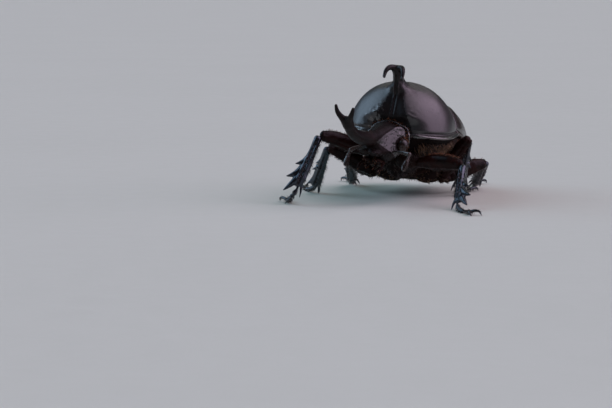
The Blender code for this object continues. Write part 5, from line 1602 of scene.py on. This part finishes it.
def main():
    print("box", [list(v) for v in CAD_BOX])
    scene = bpy.context.scene

    # camera, as the photograph was taken
    az, el = math.radians(6.78), math.radians(6.27)
    r = np.array([math.cos(az), math.sin(az), 0])
    u = np.array([-math.sin(az) * math.sin(el), math.cos(az) * math.sin(el), math.cos(el)])
    d = np.cross(r, u)
    where = (np.array([24.80743, -370.44844, 39.33203]) - ORIGIN) * MM
    camera = bpy.data.objects.new("camera", bpy.data.cameras.new("camera"))
    camera.matrix_world = Matrix([[r[i], u[i], d[i], where[i]] for i in range(3)] + [[0, 0, 0, 1]])
    camera.data.sensor_fit = "HORIZONTAL"
    camera.data.sensor_width = 36.0
    camera.data.lens = 36.0 * 1980 / 612
    camera.data.clip_start, camera.data.clip_end = 0.001, 100.0
    scene.collection.objects.link(camera)
    scene.camera = camera

    # floor
    rings = [0.0, 0.05, 0.12, 0.3, 0.8, 2.0, 8.0]
    turns = 64
    pts = [(0, 0, -2e-5)]
    for radius in rings[1:]:
        pts += [(radius * math.cos(2 * math.pi * k / turns), radius * math.sin(2 * math.pi * k / turns), -2e-5) for k in range(turns)]
    quads = [(0, 1 + k, 1 + (k + 1) % turns, 1 + (k + 1) % turns) for k in range(turns)]
    floor_mesh = bpy.data.meshes.new("floor")
    faces = [(0, 1 + k, 1 + (k + 1) % turns) for k in range(turns)]
    for i in range(len(rings) - 2):
        a, b = 1 + i * turns, 1 + (i + 1) * turns
        faces += [(a + k, b + k, b + (k + 1) % turns, a + (k + 1) % turns) for k in range(turns)]
    floor_mesh.from_pydata(pts, [], faces)
    floor = bpy.data.objects.new("floor", floor_mesh)
    floor_mesh.materials.append(floor_material())
    scene.collection.objects.link(floor)

    scene.view_settings.view_transform = "Standard"

    # light: two broad soft lamps, one to each side, and a dim room
    world = bpy.data.worlds.new("room")
    scene.world = world
    world.use_nodes = True
    world.node_tree.nodes["Background"].inputs["Color"].default_value = (0.80, 0.86, 0.92, 1)
    world.node_tree.nodes["Background"].inputs["Strength"].default_value = 0.055
    for name, azimuth, height, spread, power, tint in (
        ("lamp_left", -98, 33, 58, 1.50, (0.55, 0.76, 1.0)),
        ("lamp_right", 84, 27, 62, 1.30, (0.98, 0.75, 1.0)),
        ("lamp_right_high", 98, 57, 50, 0.80, (1.0, 0.77, 0.99)),
        ("lamp_top", 38, 62, 34, 0.34, (1.0, 0.82, 1.0)),
        ("lamp_back", 178, 50, 60, 0.22, (0.96, 1.0, 0.92)),
    ):
        lamp = bpy.data.objects.new(name, bpy.data.lights.new(name, "SUN"))
        lamp.data.energy = power
        lamp.data.angle = math.radians(spread)
        lamp.data.color = tint
        a, h = math.radians(azimuth), math.radians(height)
        back = np.array([math.sin(a) * math.cos(h), -math.cos(a) * math.cos(h), math.sin(h)])
        side = unit(np.cross((0, 0, 1), back))
        lift = np.cross(back, side)
        lamp.matrix_world = Matrix([[side[i], lift[i], back[i], 0] for i in range(3)] + [[0, 0, 0, 1]])
        scene.collection.objects.link(lamp)

    looks = {
        "shell": chitin("shell_cuticle", (0.0042, 0.0034, 0.0040), (0.013, 0.0075, 0.0095), 0.7, rough=0.43, coat=0.45, coat_rough=0.31, level=0.60, worn=(0.020, 0.011, 0.010)),
        "rim": chitin("rim_cuticle", (0.006, 0.0046, 0.0050), (0.016, 0.010, 0.012), 0.7, rough=0.24, coat=1.0, coat_rough=0.12, level=1.0, pits=(3.0, 0.2, 0.006)),
        "wet": chitin("fold_cuticle", (0.0042, 0.0036, 0.0042), (0.012, 0.0075, 0.0085), 0.7, rough=0.27, coat=0.6, coat_rough=0.15, level=0.8, worn=(0.020, 0.012, 0.011)),
        # painted shade: a darker, duller copy of the shell cuticle for the hollow between the lobes and the horn's face
        "front": chitin("front_cuticle", (0.0042, 0.0034, 0.0036), (0.012, 0.0066, 0.0070), 0.7, rough=0.42, coat=0.13, coat_rough=0.22, level=0.16, worn=(0.018, 0.010, 0.009)),
        # painted shade: a near-black, unreflecting copy of the cuticle for the pronotum's underside
        "under": chitin("under_cuticle", (0.004, 0.0026, 0.0024), (0.011, 0.0052, 0.0040), 0.8, rough=0.62, coat=0.0, coat_rough=0.30, level=0.04, pits=(1.8, 0.28, 0.030), dust=0.12),
        "horn": chitin("horn_cuticle", (0.0034, 0.0024, 0.0024), (0.012, 0.0050, 0.0042), 0.7, rough=0.44, coat=0.10, coat_rough=0.20, pits=(2.2, 0.24, 0.022), level=0.09, worn=(0.020, 0.009, 0.007)),
        "crest": chitin("crest_cuticle", (0.0042, 0.0034, 0.0038), (0.013, 0.0068, 0.0078), 0.7, rough=0.42, coat=0.38, coat_rough=0.28, level=0.48, worn=(0.020, 0.011, 0.010)),
        "root": chitin("horn_root_cuticle", (0.0032, 0.0023, 0.0023), (0.011, 0.0047, 0.0040), 0.7, rough=0.48, coat=0.06, coat_rough=0.22, pits=(2.4, 0.34, 0.035), level=0.07, worn=(0.016, 0.0075, 0.006)),
        "head": chitin("head_cuticle", (0.0045, 0.0038, 0.0045), (0.014, 0.009, 0.010), 0.6, rough=0.35, coat=0.45, coat_rough=0.20, pits=(1.35, 0.33, 0.060), grain=(5.0, 0.012), level=0.50, worn=(0.022, 0.013, 0.013)),
        "wing": chitin("wing_cuticle", (0.0070, 0.0030, 0.0026), (0.024, 0.0085, 0.0055), 0.8, rough=0.32, coat=0.45, coat_rough=0.17, pits=(1.9, 0.16, 0.014), worn=(0.040, 0.018, 0.012)),
        "belly": chitin("belly_cuticle", (0.009, 0.0036, 0.0026), (0.028, 0.010, 0.005), 0.9, rough=0.58, coat=0.0, coat_rough=0.3, pits=(1.8, 0.26, 0.022), dust=0.3, level=0.06),
        "coxa": chitin("hip_cuticle", (0.007, 0.0030, 0.0024), (0.021, 0.008, 0.005), 0.8, rough=0.50, coat=0.0, coat_rough=0.25, level=0.08),
        "femur": chitin("thigh_cuticle", (0.0050, 0.0018, 0.0015), (0.021, 0.0044, 0.0030), 0.9, rough=0.36, coat=0.05, coat_rough=0.12, level=0.08, worn=(0.026, 0.009, 0.006)),
        "tibia": chitin("shin_cuticle", (0.0030, 0.0030, 0.0042), (0.008, 0.0055, 0.0070), 0.6, rough=0.24, coat=0.35, coat_rough=0.10, level=0.55, tint=(0.60, 0.79, 1.0), worn=(0.012, 0.008, 0.009)),
        "tarsus": chitin("toe_cuticle", (0.0030, 0.0026, 0.0034), (0.009, 0.0052, 0.0050), 0.6, rough=0.24, coat=0.30, coat_rough=0.09, pits=(3.0, 0.2, 0.01), level=0.48, tint=(0.64, 0.82, 1.0), worn=(0.016, 0.009, 0.008)),
        "feeler": chitin("feeler_cuticle", (0.006, 0.0028, 0.0024), (0.028, 0.010, 0.0055), 0.9, rough=0.26, coat=0.6, coat_rough=0.10, pits=(3.0, 0.2, 0.01), level=0.5),
        "mouth": chitin("mouth_cuticle", (0.006, 0.0024, 0.0020), (0.032, 0.009, 0.006), 0.9, rough=0.56, coat=0.0, coat_rough=0.2, pits=(2.6, 0.30, 0.030), level=0.06, worn=(0.045, 0.014, 0.010)),
        "eye": eye_material(),
    }
    jobs = body_jobs()
    jobs.sort(key=lambda j: -(np.prod(np.asarray(j[3], float) - np.asarray(j[2], float)) / j[4] ** 2))
    info = {j[0]: j[6:] for j in jobs}
    region = {j[0]: j[5] for j in jobs}
    total = 0
    with ThreadPoolExecutor(4) as pool:
        for name, world_points, quads, normals, convex, local in pool.map(build_skin, jobs):
            nodes, slot, look = info[name]
            metres = in_box((world_points - ORIGIN) * MM)
            obj = mesh_object(f"shell_{name}", metres, quads, looks[look], [("convex", convex)])
            if nodes:
                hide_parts(*nodes)
            middle, facing = local[quads].mean(1), (normals[quads].mean(1) @ region[name][0])
            seconds = ()
            if name == "pronotum":                                      # below the side bead and in the hollow between the lobes, darker, duller copies of the cuticle are painted shade
                under = (middle[:, 2] < pro_margin(np.minimum(middle[:, 1], 0.5)) + 0.40) & (facing[:, 2] < 0.5) & ((np.abs(middle[:, 0]) > 2.5) | (middle[:, 2] < -1.8))
                seconds = (("front", painted_shade_hollow(middle, facing)), ("under", under), ("rim", side_bead(middle)), ("wet", wet_folds(middle)))
            if name == "thoracic_horn":
                # painted shade: the horn's shaft front and the hollow get the darker, duller copy of the cuticle
                shaded_shaft = (middle[:, 2] > 10.9 + 0.3 * ripple(middle, 0.7, 33)) & (facing[:, 1] < 0.30)
                seconds = (("front", painted_shade_hollow(middle, facing) | shaded_shaft),)
            if name == "head":                                          # only the cheeks are glossy
                x, y, z = np.abs(middle[:, 0]), middle[:, 1], middle[:, 2]
                glossy = (z < 2.35 + 0.72 * (y + 1.67)) & (z > -3.2 - 0.31 * (y + 1.8)) & (np.sign(middle[:, 0]) * facing[:, 0] > 0.30) & (x > 1.2)
                glossy &= np.abs(ellipsoid(np.abs(middle) * (1, 0, 0) + middle * (0, 1, 1), EYE_C, EYE_R) - 0.30) > 0.16      # darker, matt ring in the crease round the eye: painted shade
                seconds = (("root", ~glossy),)
            index = np.zeros(len(quads), np.int32)
            for place, (key, mask) in enumerate(seconds, 1):
                obj.data.materials.append(looks[key])
                index[mask] = place
            obj.data.polygons.foreach_set("material_index", index)
            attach(obj, "root")
            SKINS[name] = (metres, normals, local, convex, region[name])
            total += 2 * len(quads)
            print(f"{name:20s} {2 * len(quads):7d} triangles  convex {np.percentile(convex, 2):.2f} {np.percentile(convex, 98):.2f}")
    print("shell triangles", total)
    bristles()


main()
